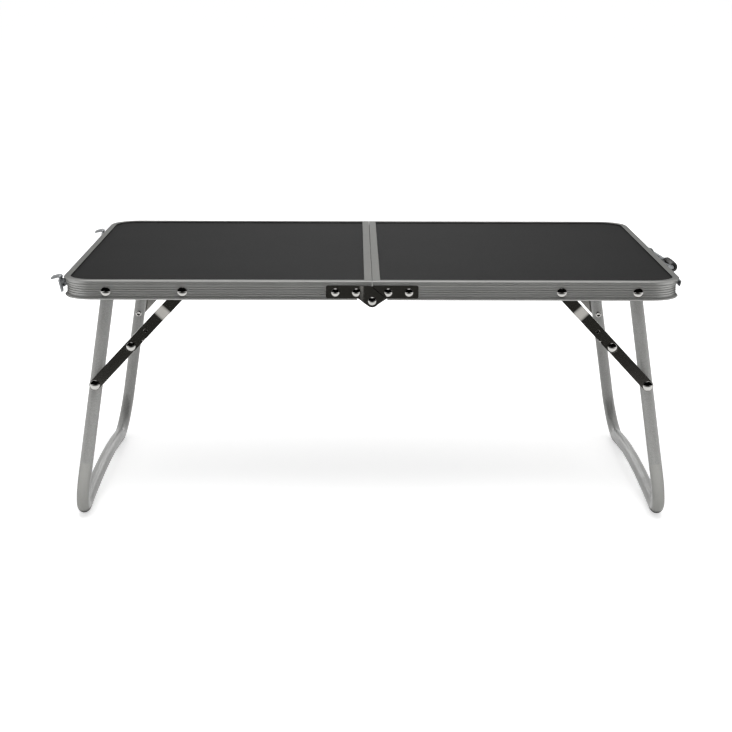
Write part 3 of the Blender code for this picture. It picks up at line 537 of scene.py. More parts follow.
def rail_profiles():
    """The rail's section as (inset, height): bead, lip and ribbed face above, flared foot below."""
    ribs = []
    for i in range(RIBS):
        top = RIB_TOP - RIB_PITCH * i
        ribs += [
            (RIB_FACE, top, 0.3), (RIB_FACE, top - 1.0, 0.3),
            (GROOVE_FACE, top - 1.15, 0.08), (GROOVE_FACE, top - 2.1, 0.08),
        ]
    upper = [
        (1.6, 0, 0.6), (0.15, -0.75, 0.4), (0, -1.35, 0.25), (2.5, -1.6, 0.2), (2.5, -4.3, 0.3),
        (1.9, -4.7, 0.3), (1.9, -5.6, 0.4), (3.6, -6.0, 0.12), (3.6, -7.1, 0.12), *ribs,
        (3.6, -16.3, 0.1), (3.6, -16.75), (4.5, -16.75), (4.5, LEDGE), (9.0, LEDGE, 0.2),
        (9.0, SLOT_BOTTOM, 0.2), (4.5, SLOT_BOTTOM), (4.5, SLOT_TOP), (6.1, SLOT_TOP, 0.15),
        (6.7, -0.45, 0.15), (6.7, 0, 0.25),
    ]
    foot = [
        (4.5, -16.6), (3.6, -16.6), (3.6, -16.75, 0.1), (1.3, -17.6, 0.3), (1.0, -18.1, 0.2),
        (2.0, -19.2, 0.4), (2.9, -19.2, 0.2), (2.9, -18.5, 0.2), (4.5, -17.4, 0.2),
    ]
    return in_metres(eased(upper)), in_metres(eased(foot))


def rail_line(seam):
    """The rail's plan, from this far short of the seam at the front, round the end, to the back."""
    straight = HALF_LENGTH - CORNER - seam
    side = 2 * (HALF_DEPTH - CORNER)
    moves = straight, (CORNER, -90), side, (CORNER, -90), straight
    return bent((-seam, -HALF_DEPTH), 180, *moves, step=3)


def rail_shape():
    upper, foot = rail_profiles()
    shape = bmesh.new()
    carried(shape, upper, rail_line(GAP / 2))
    carried(shape, foot, rail_line(FOOT_END))
    return shape


def trim_shape():
    """A centre trim: a cap over the panel's edge and a strip under it."""
    cap = [
        (-7.6, 0, 0.35), (-7.6, SLOT_TOP, 0.15), (-1.2, SLOT_TOP), (-1.2, SLOT_BOTTOM),
        (0, SLOT_BOTTOM), (0, 0, 0.35),
    ]
    strip = [
        (-7.6, LEDGE, 0.2), (0, LEDGE, 0.2), (0, SLOT_BOTTOM + 0.1), (-1.2, SLOT_BOTTOM + 0.1),
        (-1.2, SLOT_BOTTOM), (-7.6, SLOT_BOTTOM, 0.2),
    ]
    shape = bmesh.new()
    for section, inset in ((cap, CAP_END), (strip, STRIP_END)):
        reach = HALF_DEPTH - inset
        carried(shape, in_metres(eased(section)), bent((-GAP / 2, -reach), 90, 2 * reach))
    return shape


def make_rails():
    for word, side in SIDES.items():
        place = Matrix.Translation((SEAM, 0, TOP)) @ Matrix.Rotation(0 if side < 0 else pi, 4, "Z")
        put(word + "_rail", rail_shape(), place, 28)
        put(word + "_trim", trim_shape(), place)


# Legs and foot sleeves

TUBE, SLEEVE = 6.5 * MM, 1.5 * MM
LEG_SPACING = 176 * MM
BEND = 42 * MM
ARCH_RISE = 9 * MM
# How far a sleeve's outside is shifted off the tube's middle, and its edges in degrees
SOLE_SHIFT = 2.2 * MM
OUTER_EDGE, INNER_EDGE = 72, 64
# A sleeve starts this far above the bend, in short steps, and ends this far from the arch's middle
SLEEVE_STEP, SLEEVE_STEPS = 2 * MM, 7
SLEEVE_END = 65 * MM
# How deep it sinks at its top and arch ends, in millimetres, and over how many stations
TOP_SINK, TOP_STATIONS, ARCH_SINK, ARCH_STATIONS = 1.7, 6, 0.3, 7


def leg_bends(leg_length):
    """The arch's angle at the bends, its radius and its reach, and the leg's straight."""
    half = LEG_SPACING - BEND
    rise = degrees(atan(2 * ARCH_RISE / half))
    reach = half - BEND * sin(radians(rise))
    arch = reach / sin(radians(rise))
    return rise, arch, reach, leg_length - BEND


def leg_shape(rise, arch, straight):
    """A leg bent from one tube, with domed ends past its pivots."""
    moves = straight, (BEND, 90 + rise), (arch, -2 * rise), (BEND, 90 + rise), straight
    line = bent((-LEG_SPACING, 0), -90, *moves, step=3)
    dome = [(sin(radians(a)), TUBE * cos(radians(a))) for a in (12, 30, 48, 64, 78)]
    start = [(-LEG_SPACING, height, -pi / 2) for share, height in dome]
    end = [(LEG_SPACING, height, pi / 2) for share, height in reversed(dome)]
    ends = [share for share, height in dome]
    shape = bmesh.new()
    shares = [*ends, *[1] * len(line), *ends[::-1]]
    carried(shape, circle(TUBE, 36), [*start, *line, *end], UPRIGHT, shares)
    return shape


def sleeve_shape(rise, arch, reach, straight):
    """A crescent round the outside of a bend: thin at its edges and at its top end."""
    wall = [
        *arc((SOLE_SHIFT, 0), TUBE + GAP + SLEEVE - SOLE_SHIFT, -OUTER_EDGE, OUTER_EDGE, 24),
        *arc((0, 0), TUBE + GAP / 3, INNER_EDGE, -INNER_EDGE, 20),
    ]
    steps = [SLEEVE_STEP] * SLEEVE_STEPS
    run = degrees((reach - SLEEVE_END) / arch)
    start = (-LEG_SPACING, SLEEVE_STEP * SLEEVE_STEPS - straight)
    line = bent(start, -90, *steps, (BEND, 90 + rise), (arch, -run), step=2.5)
    shape = bmesh.new()
    carried(shape, wall, [sunk(station, i, len(line)) for i, station in enumerate(line)], UPRIGHT)
    break_edges(shape, 0.25 * MM, 2, 50)
    return shape


def sunk(station, i, count):
    """A sleeve's station moved in: down to the tube at its top end, less at its arch end."""
    x, y, way = station
    top = TOP_SINK * (1 - i / TOP_STATIONS)
    depth = max(top, ARCH_SINK * (1 - (count - 1 - i) / ARCH_STATIONS), 0) * MM
    return x - depth * sin(way), y + depth * cos(way), way


def make_legs():
    for word, side in SIDES.items():
        pivot = midpoint(f"leg_rivet_{word}_front")
        lower = midpoint(f"leg_stay_rivet_{word}_front")
        splay = atan2(abs(lower.x - pivot.x), pivot.z - lower.z)
        turn = Matrix.Rotation(0 if side < 0 else pi, 4, "Z") @ Matrix.Rotation(splay, 4, "Y")
        place = Matrix.Translation(pivot) @ turn
        rise, arch, reach, straight = leg_bends((pivot.z - TUBE - GAP - SLEEVE) / cos(splay))
        put(word + "_leg", leg_shape(rise, arch, straight), place)
        for face_word, face in FACES.items():
            shape = sleeve_shape(rise, arch, reach, straight)
            if (face > 0) == (side < 0):
                shape.transform(Matrix.Diagonal((1, -1, 1, 1)))
            put(f"foot_pad_{word}_{face_word}", shape, place)


# Folding stays

STAY_HALF, STAY_SHEET = 5.6 * MM, 2 * MM
UPPER_LENGTH, LOWER_LENGTH = 75.5 * MM, 53.5 * MM
JOGGLE, JOGGLE_START, JOGGLE_RUN = 5.1 * MM, 21.5 * MM, 15 * MM
# The lower stay past the middle rivet
TAIL = 19 * MM
# Outer faces of the stays, from the table's middle
UPPER_FACE, LOWER_FACE = 195.2 * MM, 187.8 * MM
# The tab's place past the middle rivet, its sizes, and how it stands out past the upper stay
TAB_PLACE, TAB_LENGTH, TAB_SHEET = 12.3 * MM, 2.4 * MM, 1.6 * MM
TAB_PAST, TAB_SLANT = 0.9 * MM, 0.4
NOTCH_CLEAR = 0.9 * MM
DETENT_PLACE, DETENT = 21.2 * MM, 1.8 * MM
# Rivet shanks, and the radius and height of a clinched tail, in millimetres
SHANK, CLINCH = 2.2, (3.4, 1.8)


def set_over(shape, start, run, shift, slices=14, ease=1.0):
    """Sets a plate over sideways along a smooth S, or along a plainer slope with less ease."""
    for i in range(slices + 1):
        geometry = shape.verts[:] + shape.edges[:] + shape.faces[:]
        cut = (start + run * i / slices, 0, 0)
        bmesh.ops.bisect_plane(shape, geom=geometry, dist=1e-7, plane_co=cut, plane_no=(1, 0, 0))
    for vert in shape.verts:
        share = min(max((vert.co.x - start) / run, 0), 1)
        vert.co.y += shift * (ease * share * share * (3 - 2 * share) + (1 - ease) * share)


def clinched_tail(radius, height):
    """A clinched tail, as (radius, height) in millimetres: a rim round a small hollow."""
    return [
        (radius - 0.3, 0), (radius, -0.35 * height), (radius - 0.15, -0.65 * height),
        (radius - 0.6, -0.92 * height), (radius - 1.1, -height), (radius - 1.6, -0.92 * height),
        (radius - 1.9, -0.6 * height), (0.5, -0.45 * height), (0, -0.45 * height),
    ]


def upper_stay(face, lower_edge):
    """The stay on the rail: a joggled strap with a detent, and a notch for the other's tab."""
    near = UPPER_LENGTH - TAB_PLACE - TAB_LENGTH / 2 - NOTCH_CLEAR
    far = UPPER_LENGTH - TAB_PLACE + TAB_LENGTH / 2 + NOTCH_CLEAR
    floor = STAY_HALF - TAB_SHEET - GAP
    notch = [
        (near - 1.4 * MM, -STAY_HALF), (near - 0.5 * MM, -floor - 0.3 * MM),
        (near, -floor), (far, -floor), (far, -STAY_HALF),
    ]
    ends = arc((0, 0), STAY_HALF, 90, 270, 20), arc((UPPER_LENGTH, 0), STAY_HALF, -90, 90, 20)
    outline = [(x, -lower_edge * z) for x, z in [*ends[0], *notch, *ends[1]]]
    middle = UPPER_LENGTH - DETENT_PLACE
    shape = bmesh.new()
    plate(shape, outline, STAY_SHEET, [[(x + middle, z) for x, z in circle(DETENT, 24)]])
    break_edges(shape, 0.3 * MM)
    set_over(shape, JOGGLE_START, JOGGLE_RUN, -face * JOGGLE)
    # The detent is a punched dimple: hollow outside, raised inside
    hollow = [(0, -1.2), (0.7, -1.14), (1.2, -0.7), (1.6, -0.12), (1.85, 0.06), (2.0, -0.3)]
    raised = [(2.0, -1.7), (2.0, -2.0), (1.6, -2.08), (0.8, -2.15), (0, -2.17)]
    dish = bmesh.new()
    turned(dish, in_metres([*hollow, *raised]), 28)
    seat = Matrix.Translation((middle, face * (STAY_SHEET / 2 - JOGGLE), 0))
    join(shape, dish, seat @ Matrix.Rotation(-face * pi / 2, 4, "X"))
    return shape


def lower_stay(face, lower_edge):
    """The stay on the leg: a plain strap whose edge turns up into a stop tab near its end."""
    end = LOWER_LENGTH + TAIL - STAY_HALF
    outline = [*arc((0, 0), STAY_HALF, 90, 270, 20), *arc((end, 0), STAY_HALF, -90, 90, 20)]
    shape = bmesh.new()
    plate(shape, outline, STAY_SHEET)
    break_edges(shape, 0.3 * MM)
    near = LOWER_LENGTH + TAB_PLACE - TAB_LENGTH / 2
    far = LOWER_LENGTH + TAB_PLACE + TAB_LENGTH / 2
    over = STAY_SHEET / 2 + GAP + STAY_SHEET
    y = sorted((face * -STAY_SHEET / 2, face * (over + TAB_PAST)))
    z = sorted((lower_edge * STAY_HALF, lower_edge * (STAY_HALF - TAB_SHEET)))
    block(shape, (near, y[0], z[0]), (far, y[1], z[1]), 0.55 * MM, 3)
    # The tab's end is ground at a slant, down towards the leg
    for vert in shape.verts:
        if vert.co.y * face > over:
            vert.co.y -= face * TAB_SLANT * (far - vert.co.x)
    tail = bmesh.new()
    turned(tail, in_metres([(0, 0.4), (SHANK, 0.4), (SHANK, 0), *clinched_tail(*CLINCH)]), 28)
    seat = Matrix.Translation((LOWER_LENGTH, -face * STAY_SHEET / 2, 0))
    join(shape, tail, seat @ Matrix.Rotation(face * pi / 2, 4, "X"))
    return shape


def hung(start, end, y):
    """Places a stay with its root at one pivot and its length towards the next."""
    turn = atan2(-(end.z - start.z), end.x - start.x)
    return Matrix.Translation((start.x, y, start.z)) @ Matrix.Rotation(turn, 4, "Y")


def make_stays():
    for word, side in SIDES.items():
        for face_word, face in FACES.items():
            ending = f"{word}_{face_word}"
            rail_pivot = midpoint("stay_rivet_" + ending)
            middle = midpoint("middle_rivet_" + ending)
            leg_pivot = midpoint("leg_stay_rivet_" + ending)
            place = hung(rail_pivot, middle, face * (UPPER_FACE - STAY_SHEET / 2))
            put("upper_stay_" + ending, upper_stay(face, -side), place)
            place = hung(leg_pivot, middle, face * (LOWER_FACE - STAY_SHEET / 2))
            put("lower_stay_" + ending, lower_stay(face, side), place)


# Rivets, in millimetres: head radius, stages behind the head as (radius, length), and tail

HEAD_HEIGHT, HEAD_RIM = 2.3, 0.3
SPACER = 4.6
RIVETS = {
    "leg_rivet_": (4.9, [(SHANK, 2.0), (SPACER, 12.4), (SHANK, 13.6)], CLINCH),
    "stay_rivet_": (4.9, [(SHANK, 4.3)], CLINCH),
    "middle_rivet_": (4.5, [(SHANK, 2.3)], None),
    "leg_stay_rivet_": (4.9, [(SHANK, 2.6), (SPACER, 2.9), (SHANK, 13.6)], CLINCH),
    "hinge_rivet_": (4.1, [(SHANK, 3.8)], CLINCH),
    "hinge_pin_": (4.1, [(SHANK, 3.6)], None),
}


def rivet_profile(head_radius, stages, tail):
    """Half section of a round-headed rivet, as (radius, height): dome, stages and tail."""
    rise = HEAD_HEIGHT - HEAD_RIM
    dome = head_radius**2 / (2 * rise) + rise / 2
    reach = degrees(asin(head_radius / dome))
    crown = arc((0, HEAD_HEIGHT - dome), dome, 90, 90 - reach * 0.97, 14)
    points = [(max(x, 0), z) for x, z in crown]
    points += [(head_radius, HEAD_RIM * 0.6), (head_radius - 0.12, 0)]
    depth = 0
    for radius, length in stages:
        points += [(radius, depth), (radius, depth - length)]
        depth -= length
    if tail:
        points += [(radius, depth + z) for radius, z in clinched_tail(*tail)]
    else:
        points.append((0, depth))
    return points


def make_rivets():
    for node in nodes:
        kind = next((k for k in RIVETS if node.startswith(k)), None)
        if kind is None:
            continue
        low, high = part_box(node)
        face = 1 if high.y > 0 else -1
        head = (high.y if face > 0 else low.y) - face * HEAD_HEIGHT * MM
        shape = bmesh.new()
        turned(shape, in_metres(rivet_profile(*RIVETS[kind])), 44)
        axis = midpoint(node)
        place = Matrix.Translation((axis.x, head, axis.z)) @ Matrix.Rotation(-face * pi / 2, 4, "X")
        put(node, shape, place, 40)


# Centre hinges: the plates' outlines, in millimetres from the pivot

HINGE_SHEET = 1.5 * MM
HINGE_DROP = 19.4 * MM
PLATE_END, PLATE_LOW, PLATE_TOP, PLATE_CORNER = 44.5, 1.9, 14.8, 2.0
LOBE = 6.3
# The left plate steps out over the right one between its inner rivet and the right plate's lobe
STEP_START, STEP_RUN = -12.5 * MM, 5.2 * MM


def touch(corner, radius, way):
    """Where a line from a corner touches the lobe round the pivot, in degrees."""
    return degrees(atan2(corner[1], corner[0]) + way * acos(radius / hypot(*corner)))


def left_plate_outline():
    """The plate whose nose laps over the other: a bar, a slanted nose and a lobe."""
    shoulder, nose = (-13.4, PLATE_LOW), arc((0, 0), 12.4, 18.4, 12, 2)
    right, left = touch(nose[-1], LOBE, -1), touch(shoulder, LOBE, 1) - 360
    bar = [(-PLATE_END, PLATE_LOW, PLATE_CORNER), (-PLATE_END, PLATE_TOP, PLATE_CORNER)]
    tip = [(-0.5, PLATE_TOP, 0.5), (0.7, 13.0, 0.4), (*nose[0], 0.3), (*nose[-1], 0.3)]
    return eased([*bar, *tip, *arc((0, 0), LOBE, right, left, 20), (*shoulder, 0.6)])


def right_plate_outline():
    shoulder, corner = (14.0, PLATE_LOW), (0.5, PLATE_TOP)
    right, left = touch(shoulder, LOBE, -1), touch(corner, LOBE, 1) - 360
    bar = [(PLATE_END, PLATE_TOP, PLATE_CORNER), (PLATE_END, PLATE_LOW, PLATE_CORNER)]
    return eased([(*corner, 0.4), *bar, (*shoulder, 0.6), *arc((0, 0), LOBE, right, left, 24)])


def make_hinges():
    for word, side in SIDES.items():
        for face_word, face in FACES.items():
            outline = left_plate_outline() if side < 0 else right_plate_outline()
            shape = bmesh.new()
            plate(shape, in_metres(outline), HINGE_SHEET)
            break_edges(shape, 0.28 * MM)
            if side < 0:
                set_over(shape, STEP_START, STEP_RUN, face * (HINGE_SHEET + GAP), ease=0.4)
            low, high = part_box(f"hinge_plate_{word}_{face_word}")
            middle = (low.y if face > 0 else high.y) + face * HINGE_SHEET / 2
            place = Matrix.Translation((SEAM, middle, TOP - HINGE_DROP))
            put(f"hinge_plate_{word}_{face_word}", shape, place)


# Latches, in millimetres from the pin, and catches, from the top's end

LATCH_OUT, LATCH_DROP = 3.0 * MM, 12.0 * MM
LEVER_LINE = [(-12.0, 6.0), (-2.6, 8.2), (-3.9, 3.9), (-2.2, -8.1)]
LEVER_RADII = [0, 1.5, 1.6, 0]
LEVER_SHEET, WING_WIDE, CLAW_WIDE = 1.8, 15, 6
# The lever narrows from here down over this height, and its tip from here on
NARROW_TOP, NARROW_RUN, TIP_TOP = 4.5 * MM, 12.6 * MM, -7.4 * MM
CATCH_LINE = [(-2.25, -15.0), (-2.25, -5.2), (4.4, -7.0), (2.9, -12.2)]
CATCH_RADII = [0, 1.3, 1.2, 0]
CATCH_SHEET, CATCH_WIDE = 1.3, 14


def lever_shape():
    """A lever bent from sheet, from its wing over the top to its claw, with ears on the pin."""
    shape = bmesh.new()
    outline = sheet_outline(through(LEVER_LINE, LEVER_RADII), LEVER_SHEET)
    plate(shape, in_metres(outline), WING_WIDE * MM)
    break_edges(shape, 0.28 * MM, 2, 60)
    for vert in shape.verts:
        share = min(max((NARROW_TOP - vert.co.z) / NARROW_RUN, 0), 1)
        vert.co.y *= 1 - share * (1 - CLAW_WIDE / WING_WIDE)
        tip = min(max((TIP_TOP - vert.co.z) / MM, 0), 1)
        vert.co.y *= 1 - 0.35 * tip
    for way in (-1, 1):
        ear = bmesh.new()
        outline = [*arc((0.2, 0), 2.3, 60, -130, 14), (-3.5, 2.4), (-3.6, 4.6), (1.2, 4.6)]
        plate(ear, in_metres(outline), 1.2 * MM)
        break_edges(ear, 0.2 * MM)
        join(shape, ear, Matrix.Translation((0, way * 4.8 * MM, 0)))
    return shape


def latch_bracket_shape():
    """A foot on the rail, with a neck out to a barrel that carries the lever's pin."""
    barrel = arc((0, 0), 1.5, 40, 320, 20)
    neck = barrel[0][1]
    outline = [
        (5.8, 5.0, 0.3), (4.7, 5.0, 0.3), (4.7, neck), *barrel,
        (4.7, -neck), (4.7, -3.8, 0.3), (5.8, -3.8, 0.3),
    ]
    shape = bmesh.new()
    plate(shape, in_metres(eased(outline)), 7.8 * MM)
    break_edges(shape, 0.2 * MM, 2, 60)
    pin = [(0, 5.4), (1.2, 5.4), (1.45, 5.15), (1.45, -5.15), (1.2, -5.4), (0, -5.4)]
    axle = bmesh.new()
    turned(axle, in_metres(pin), 20)
    join(shape, axle, Matrix.Rotation(pi / 2, 4, "X"))
    return shape


def make_latches():
    for face_word in FACES:
        low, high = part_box("latch_lever_" + face_word)
        pin = (SEAM - HALF_LENGTH - LATCH_OUT, (low.y + high.y) / 2, TOP - LATCH_DROP)
        put("latch_lever_" + face_word, lever_shape(), Matrix.Translation(pin))
        put("latch_bracket_" + face_word, latch_bracket_shape(), Matrix.Translation(pin))


def make_catches():
    for face_word in FACES:
        low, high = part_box("catch_" + face_word)
        outline = sheet_outline(through(CATCH_LINE, CATCH_RADII), CATCH_SHEET)
        shape = bmesh.new()
        plate(shape, in_metres(outline), CATCH_WIDE * MM)
        break_edges(shape, 0.25 * MM, 2, 60)
        place = Matrix.Translation((SEAM + HALF_LENGTH, (low.y + high.y) / 2, TOP))
        put("catch_" + face_word, shape, place)


# Carry handle, in millimetres

HANDLE_DROOP = 27
PIVOT_OUT, PIVOT_DROP = 4.6, 8.8
# Half the bail's width, and the grip's far side from the top's end
SPREAD, REACH = 40, 28
WIRE, WIRE_BEND, PIN_LENGTH, ARM = 2.1, 3, 10.5, 7.5
GRIP_HALF, GRIP_BOW, GRIP_RADIUS = 23, 4, 5.0
GRIP_STEPS, RING_STEPS = 36, 4
BRACKET_HALF, BRACKET_GAP, BRACKET_EAR, BRACKET_FOOT = 3, 0.9, 4.2, -7.4


def grip_line(reach, steps):
    """Stations of the bowed line inside the grip, to this many millimetres each side."""
    out = (REACH - GRIP_RADIUS - PIVOT_OUT) / cos(radians(HANDLE_DROOP))
    bow = (GRIP_HALF**2 + GRIP_BOW**2) / (2 * GRIP_BOW)
    angles = [asin(reach / bow) * (2 * i / steps - 1) for i in range(steps + 1)]
    return [(bow * sin(a), out - bow + bow * cos(a), -a) for a in angles]


def swept(section, stations, plane, shares=None):
    """A section carried along stations that are in millimetres."""
    shape = bmesh.new()
    carried(shape, section, [(x * MM, y * MM, a) for x, y, a in stations], plane, shares)
    return shape


def bail_line():
    """The wire from its front pin, round its arm and through the grip, to its back pin."""
    core = grip_line(GRIP_HALF + 1, 12)
    corners = [(PIN_LENGTH - SPREAD, 0), (-SPREAD, 0), (-SPREAD, ARM), core[0][:2]]
    front = through(corners, [0, WIRE_BEND, 2.4, 0])
    back = [(-x, y, -way) for x, y, way in reversed(front)]
    return [*front[:-1], *core, *back[1:]]


def grip_shares():
    """How the grip swells from its collared ends, with shallow rings for the fingers."""
    shares = []
    for i in range(GRIP_STEPS + 1):
        end = min(i, GRIP_STEPS - i) / GRIP_STEPS
        ringed = i % RING_STEPS == 2 and RING_STEPS < i < GRIP_STEPS - RING_STEPS
        shares.append(min(1, 0.62 + 3.2 * end) * (0.95 if ringed else 1))
    return shares


def handle_bracket_shape():
    """A rounded ear for the bail's pin, on a foot against the rail."""
    outline = [
        *arc((0, 0), BRACKET_EAR, 90, -90, 20),
        (BRACKET_FOOT, -BRACKET_EAR), (BRACKET_FOOT, BRACKET_EAR),
    ]
    shape = bmesh.new()
    plate(shape, in_metres(outline), 2 * BRACKET_HALF * MM)
    break_edges(shape, 0.4 * MM)
    foot = in_metres([(BRACKET_FOOT, -10, -4.1), (BRACKET_FOOT + 1.2, 10, 4.1)])
    block(shape, *foot, 0.3 * MM)
    return shape


def make_handle():
    droop = radians(HANDLE_DROOP)
    pivot = Vector((SEAM + HALF_LENGTH + PIVOT_OUT * MM, 0, TOP - PIVOT_DROP * MM))
    hanging = (
        (0, cos(droop), sin(droop), 0), (1, 0, 0, 0), (0, -sin(droop), cos(droop), 0), (0, 0, 0, 1),
    )
    plane = Matrix.Translation(pivot) @ Matrix(hanging)
    still = Matrix.Identity(4)
    put("handle_bail", swept(circle(WIRE * MM, 20), bail_line(), plane), still)
    grip = grip_line(GRIP_HALF, GRIP_STEPS)
    put("handle_grip", swept(circle(GRIP_RADIUS * MM, 28), grip, plane, grip_shares()), still, 50)
    for face_word, face in FACES.items():
        middle = face * (SPREAD - WIRE_BEND - BRACKET_GAP - BRACKET_HALF) * MM
        place = Matrix.Translation((pivot.x, middle, pivot.z))
        put("handle_bracket_" + face_word, handle_bracket_shape(), place)


make_rails()
make_legs()
make_stays()
make_rivets()
make_hinges()
make_latches()
make_catches()
make_handle()


# Studio: pale floor, soft light, and a dark cloth in front that only polished faces mirror

FLOOR_LIFT = 0.55
FLOOR_FRONT, FLOOR_BACK, FLOOR_SIDE = -0.75, 40, 30
# The cloth's angles below and above the level, its half angle round the stage, and its distance
FLAG_LOW, FLAG_HIGH, FLAG_WIDE, FLAG_RADIUS = -30, 64, 84, 3.4
FLAG_ROWS, FLAG_COLUMNS = 16, 24
# Where the cloth's hem on the ground starts to fade, where it ends, its half width and its far edge
HEM_START, HEM_END, HEM_HALF, HEM_DEPTH = -0.75, -0.38, 0.95, -3.2
HEM_FADE = 0.25
HEM_HEIGHT = 1 * MM
HEM_GREY, CLOTH_BLACK, FLOOR_WHITE = "3e3e3c", "0c0c0c", "f4f4f4"
WORLD_LIGHT = 0.5
LAMP_POWER = 10
BACK_POWER = 8
FRONT_POWER = 24
HIGH_POWER = 24
SIDE_POWER = 12


def floor_finish():
    """Pale matt floor, lifted towards white for the camera and bright metal; shadows stay."""
    made, tree, shader = new_finish("pale_floor", Roughness=0.9, Specular_IOR_Level=0.0)
    shader.inputs["Base Color"].default_value = linear(FLOOR_WHITE)
    path = add_node(tree, "LightPath")
    seen = add_node(
        tree, "Math", {0: (path, "Is Camera Ray"), 1: (path, "Is Glossy Ray")}, operation="MAXIMUM",
    )
    lift = add_node(tree, "Math", {0: (seen, 0), 1: FLOOR_LIFT}, operation="MULTIPLY")
    shader.inputs["Emission Color"].default_value = (1, 1, 1, 1)
    tree.links.new(lift.outputs[0], shader.inputs["Emission Strength"])
    return made


def flag_finish():
    """Black cloth, grey towards its hem, where the stage lights it."""
    made, tree, shader = new_finish("black_flag", Roughness=1.0, Specular_IOR_Level=0.0)
    place = add_node(tree, "TexCoord")
    height = add_node(tree, "SeparateXYZ", {0: (place, "Object")})
    up = add_node(tree, "MapRange", {"Value": (height, "Z"), "From Min": -0.3, "From Max": 0.6})
    tone = add_node(
        tree, "Mix", {SHARE: (up, 0), FIRST: linear(HEM_GREY), SECOND: linear(CLOTH_BLACK)},
        data_type="RGBA",
    )
    tree.links.new(tone.outputs[MIXED], shader.inputs["Base Color"])
    return made


def hem_finish():
    """The cloth's hem, which fades from grey into the pale floor near the table and aside."""
    made, tree, shader = new_finish("flag_hem", Roughness=1.0, Specular_IOR_Level=0.0)
    place = add_node(tree, "TexCoord")
    depth = add_node(tree, "SeparateXYZ", {0: (place, "Object")})
    ahead = add_node(
        tree, "MapRange", {"Value": (depth, "Y"), "From Min": HEM_START, "From Max": HEM_END},
    )
    aside = add_node(tree, "Math", {0: (depth, "X")}, operation="ABSOLUTE")
    aside = add_node(
        tree, "MapRange",
        {"Value": (aside, 0), "From Min": HEM_HALF, "From Max": HEM_HALF + HEM_FADE},
    )
    near = add_node(tree, "Math", {0: (ahead, 0), 1: (aside, 0)}, operation="MAXIMUM")
    tone = add_node(
        tree, "Mix", {SHARE: (near, 0), FIRST: linear(HEM_GREY), SECOND: linear(FLOOR_WHITE)},
        data_type="RGBA",
    )
    lift = add_node(tree, "Math", {0: (near, 0), 1: FLOOR_LIFT}, operation="MULTIPLY")
    shader.inputs["Emission Color"].default_value = (1, 1, 1, 1)
    tree.links.new(tone.outputs[MIXED], shader.inputs["Base Color"])
    tree.links.new(lift.outputs[0], shader.inputs["Emission Strength"])
    return made


def sheet_shape(front, back, height):
    """A flat sheet across the stage, from one depth to another."""
    corners = [(-FLOOR_SIDE, front), (FLOOR_SIDE, front), (FLOOR_SIDE, back), (-FLOOR_SIDE, back)]
    shape = bmesh.new()
    bmesh.ops.contextual_create(shape, geom=[shape.verts.new((*c, height)) for c in corners])
    return shape


def flag_shape():
    """A cloth round the front of the stage, on the camera's side: an arc upwards, spun about Z."""
    shape = bmesh.new()
    low, high, wide = radians(FLAG_LOW), radians(FLAG_HIGH), radians(FLAG_WIDE)
    verts = []
    for i in range(FLAG_ROWS + 1):
        lift = low + (high - low) * i / FLAG_ROWS
        point = Vector((0, -cos(lift), sin(lift))) * FLAG_RADIUS
        verts.append(shape.verts.new(Matrix.Rotation(-wide, 3, "Z") @ point))
    edges = [shape.edges.new(pair) for pair in zip(verts, verts[1:])]
    bmesh.ops.spin(
        shape, geom=verts + edges, cent=(0, 0, 0), axis=(0, 0, 1), angle=2 * wide,
        steps=FLAG_COLUMNS,
    )
    return shape


def staged(name, shape, material):
    made = as_object(name, shape, material)
    return made


def only_mirrored(cloth):
    cloth.visible_camera = False
    cloth.visible_diffuse = False
    cloth.visible_shadow = False
    cloth.visible_transmission = False


staged("floor", sheet_shape(FLOOR_FRONT, FLOOR_BACK, 0), floor_finish())
only_mirrored(staged("hem", sheet_shape(HEM_DEPTH, HEM_END, HEM_HEIGHT), hem_finish()))
only_mirrored(staged("flag", flag_shape(), flag_finish()))


def soft_lamp(name, place, aim, width, power):
    data = bpy.data.lights.new(name, "AREA")
    data.shape = "DISK"
    data.size = width
    data.energy = power
    lamp = bpy.data.objects.new(name, data)
    lamp.location = place
    lamp.rotation_euler = (Vector(aim) - Vector(place)).to_track_quat("-Z", "Y").to_euler()
    bpy.context.scene.collection.objects.link(lamp)
    return lamp


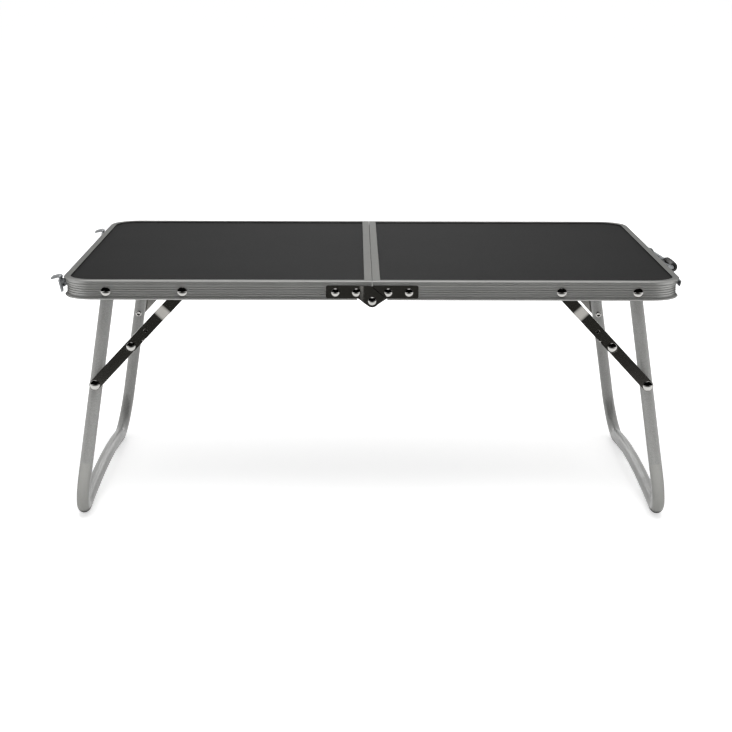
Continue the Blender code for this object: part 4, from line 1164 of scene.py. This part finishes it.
soft_lamp("overhead", (0, 0.5, 2.6), (0, 0, 0.1), 2.6, LAMP_POWER)
soft_lamp("behind", (0, 1.9, 1.0), (0, 0.1, 0.25), 1.2, BACK_POWER).visible_camera = False
soft_lamp("front", (0, -2.6, 0.35), (0, 0, 0.15), 1.2, FRONT_POWER).visible_glossy = False
soft_lamp("above_front", (0, -1.5, 2.4), (0, 0, 0.15), 1.2, HIGH_POWER).visible_glossy = False
for side in SIDES.values():
    place = (side * 2.6, -0.9, 0.3)
    soft_lamp("side", place, (0, 0, 0.2), 1.2, SIDE_POWER).visible_glossy = False

# White behind everything that the camera, metal or glass sees, and softer as light on the table
world = bpy.data.worlds.new("studio")
world.use_nodes = True
tree = world.node_tree
tree.nodes.clear()
path = add_node(tree, "LightPath")
seen = add_node(
    tree, "Math", {0: (path, "Is Camera Ray"), 1: (path, "Is Glossy Ray")}, operation="MAXIMUM",
)
seen = add_node(tree, "Math", {0: (seen, 0), 1: (path, "Is Transmission Ray")}, operation="MAXIMUM")
strength = add_node(
    tree, "Mix", {"Factor": (seen, 0), "A": WORLD_LIGHT, "B": 1.0}, data_type="FLOAT",
)
backdrop = add_node(tree, "Background", {"Color": (1, 1, 1, 1), "Strength": (strength, 0)})
add_node(tree, "OutputWorld", {"Surface": (backdrop, 0)})
bpy.context.scene.world = world

# Camera where the photograph was taken from
LENS, SENSOR = 86.21, 36
CAMERA_PLACE = (SEAM - 17.4 * MM, -1.854, 0.5494)
PITCH, YAW, ROLL = radians(13.0), radians(0.406), radians(0.204)
forward = Vector((sin(YAW) * cos(PITCH), cos(YAW) * cos(PITCH), -sin(PITCH)))
right = Vector((cos(YAW), -sin(YAW), 0))
up = right.cross(forward)
tilted_right = cos(ROLL) * right + sin(ROLL) * up
tilted_up = cos(ROLL) * up - sin(ROLL) * right
turn = Matrix((tilted_right, tilted_up, -forward)).transposed().to_4x4()
data = bpy.data.cameras.new("camera")
data.lens = LENS
data.sensor_width = SENSOR
camera = bpy.data.objects.new("camera", data)
camera.matrix_world = Matrix.Translation(CAMERA_PLACE) @ turn
bpy.context.scene.collection.objects.link(camera)
bpy.context.scene.camera = camera
bpy.context.scene.view_settings.view_transform = "Standard"
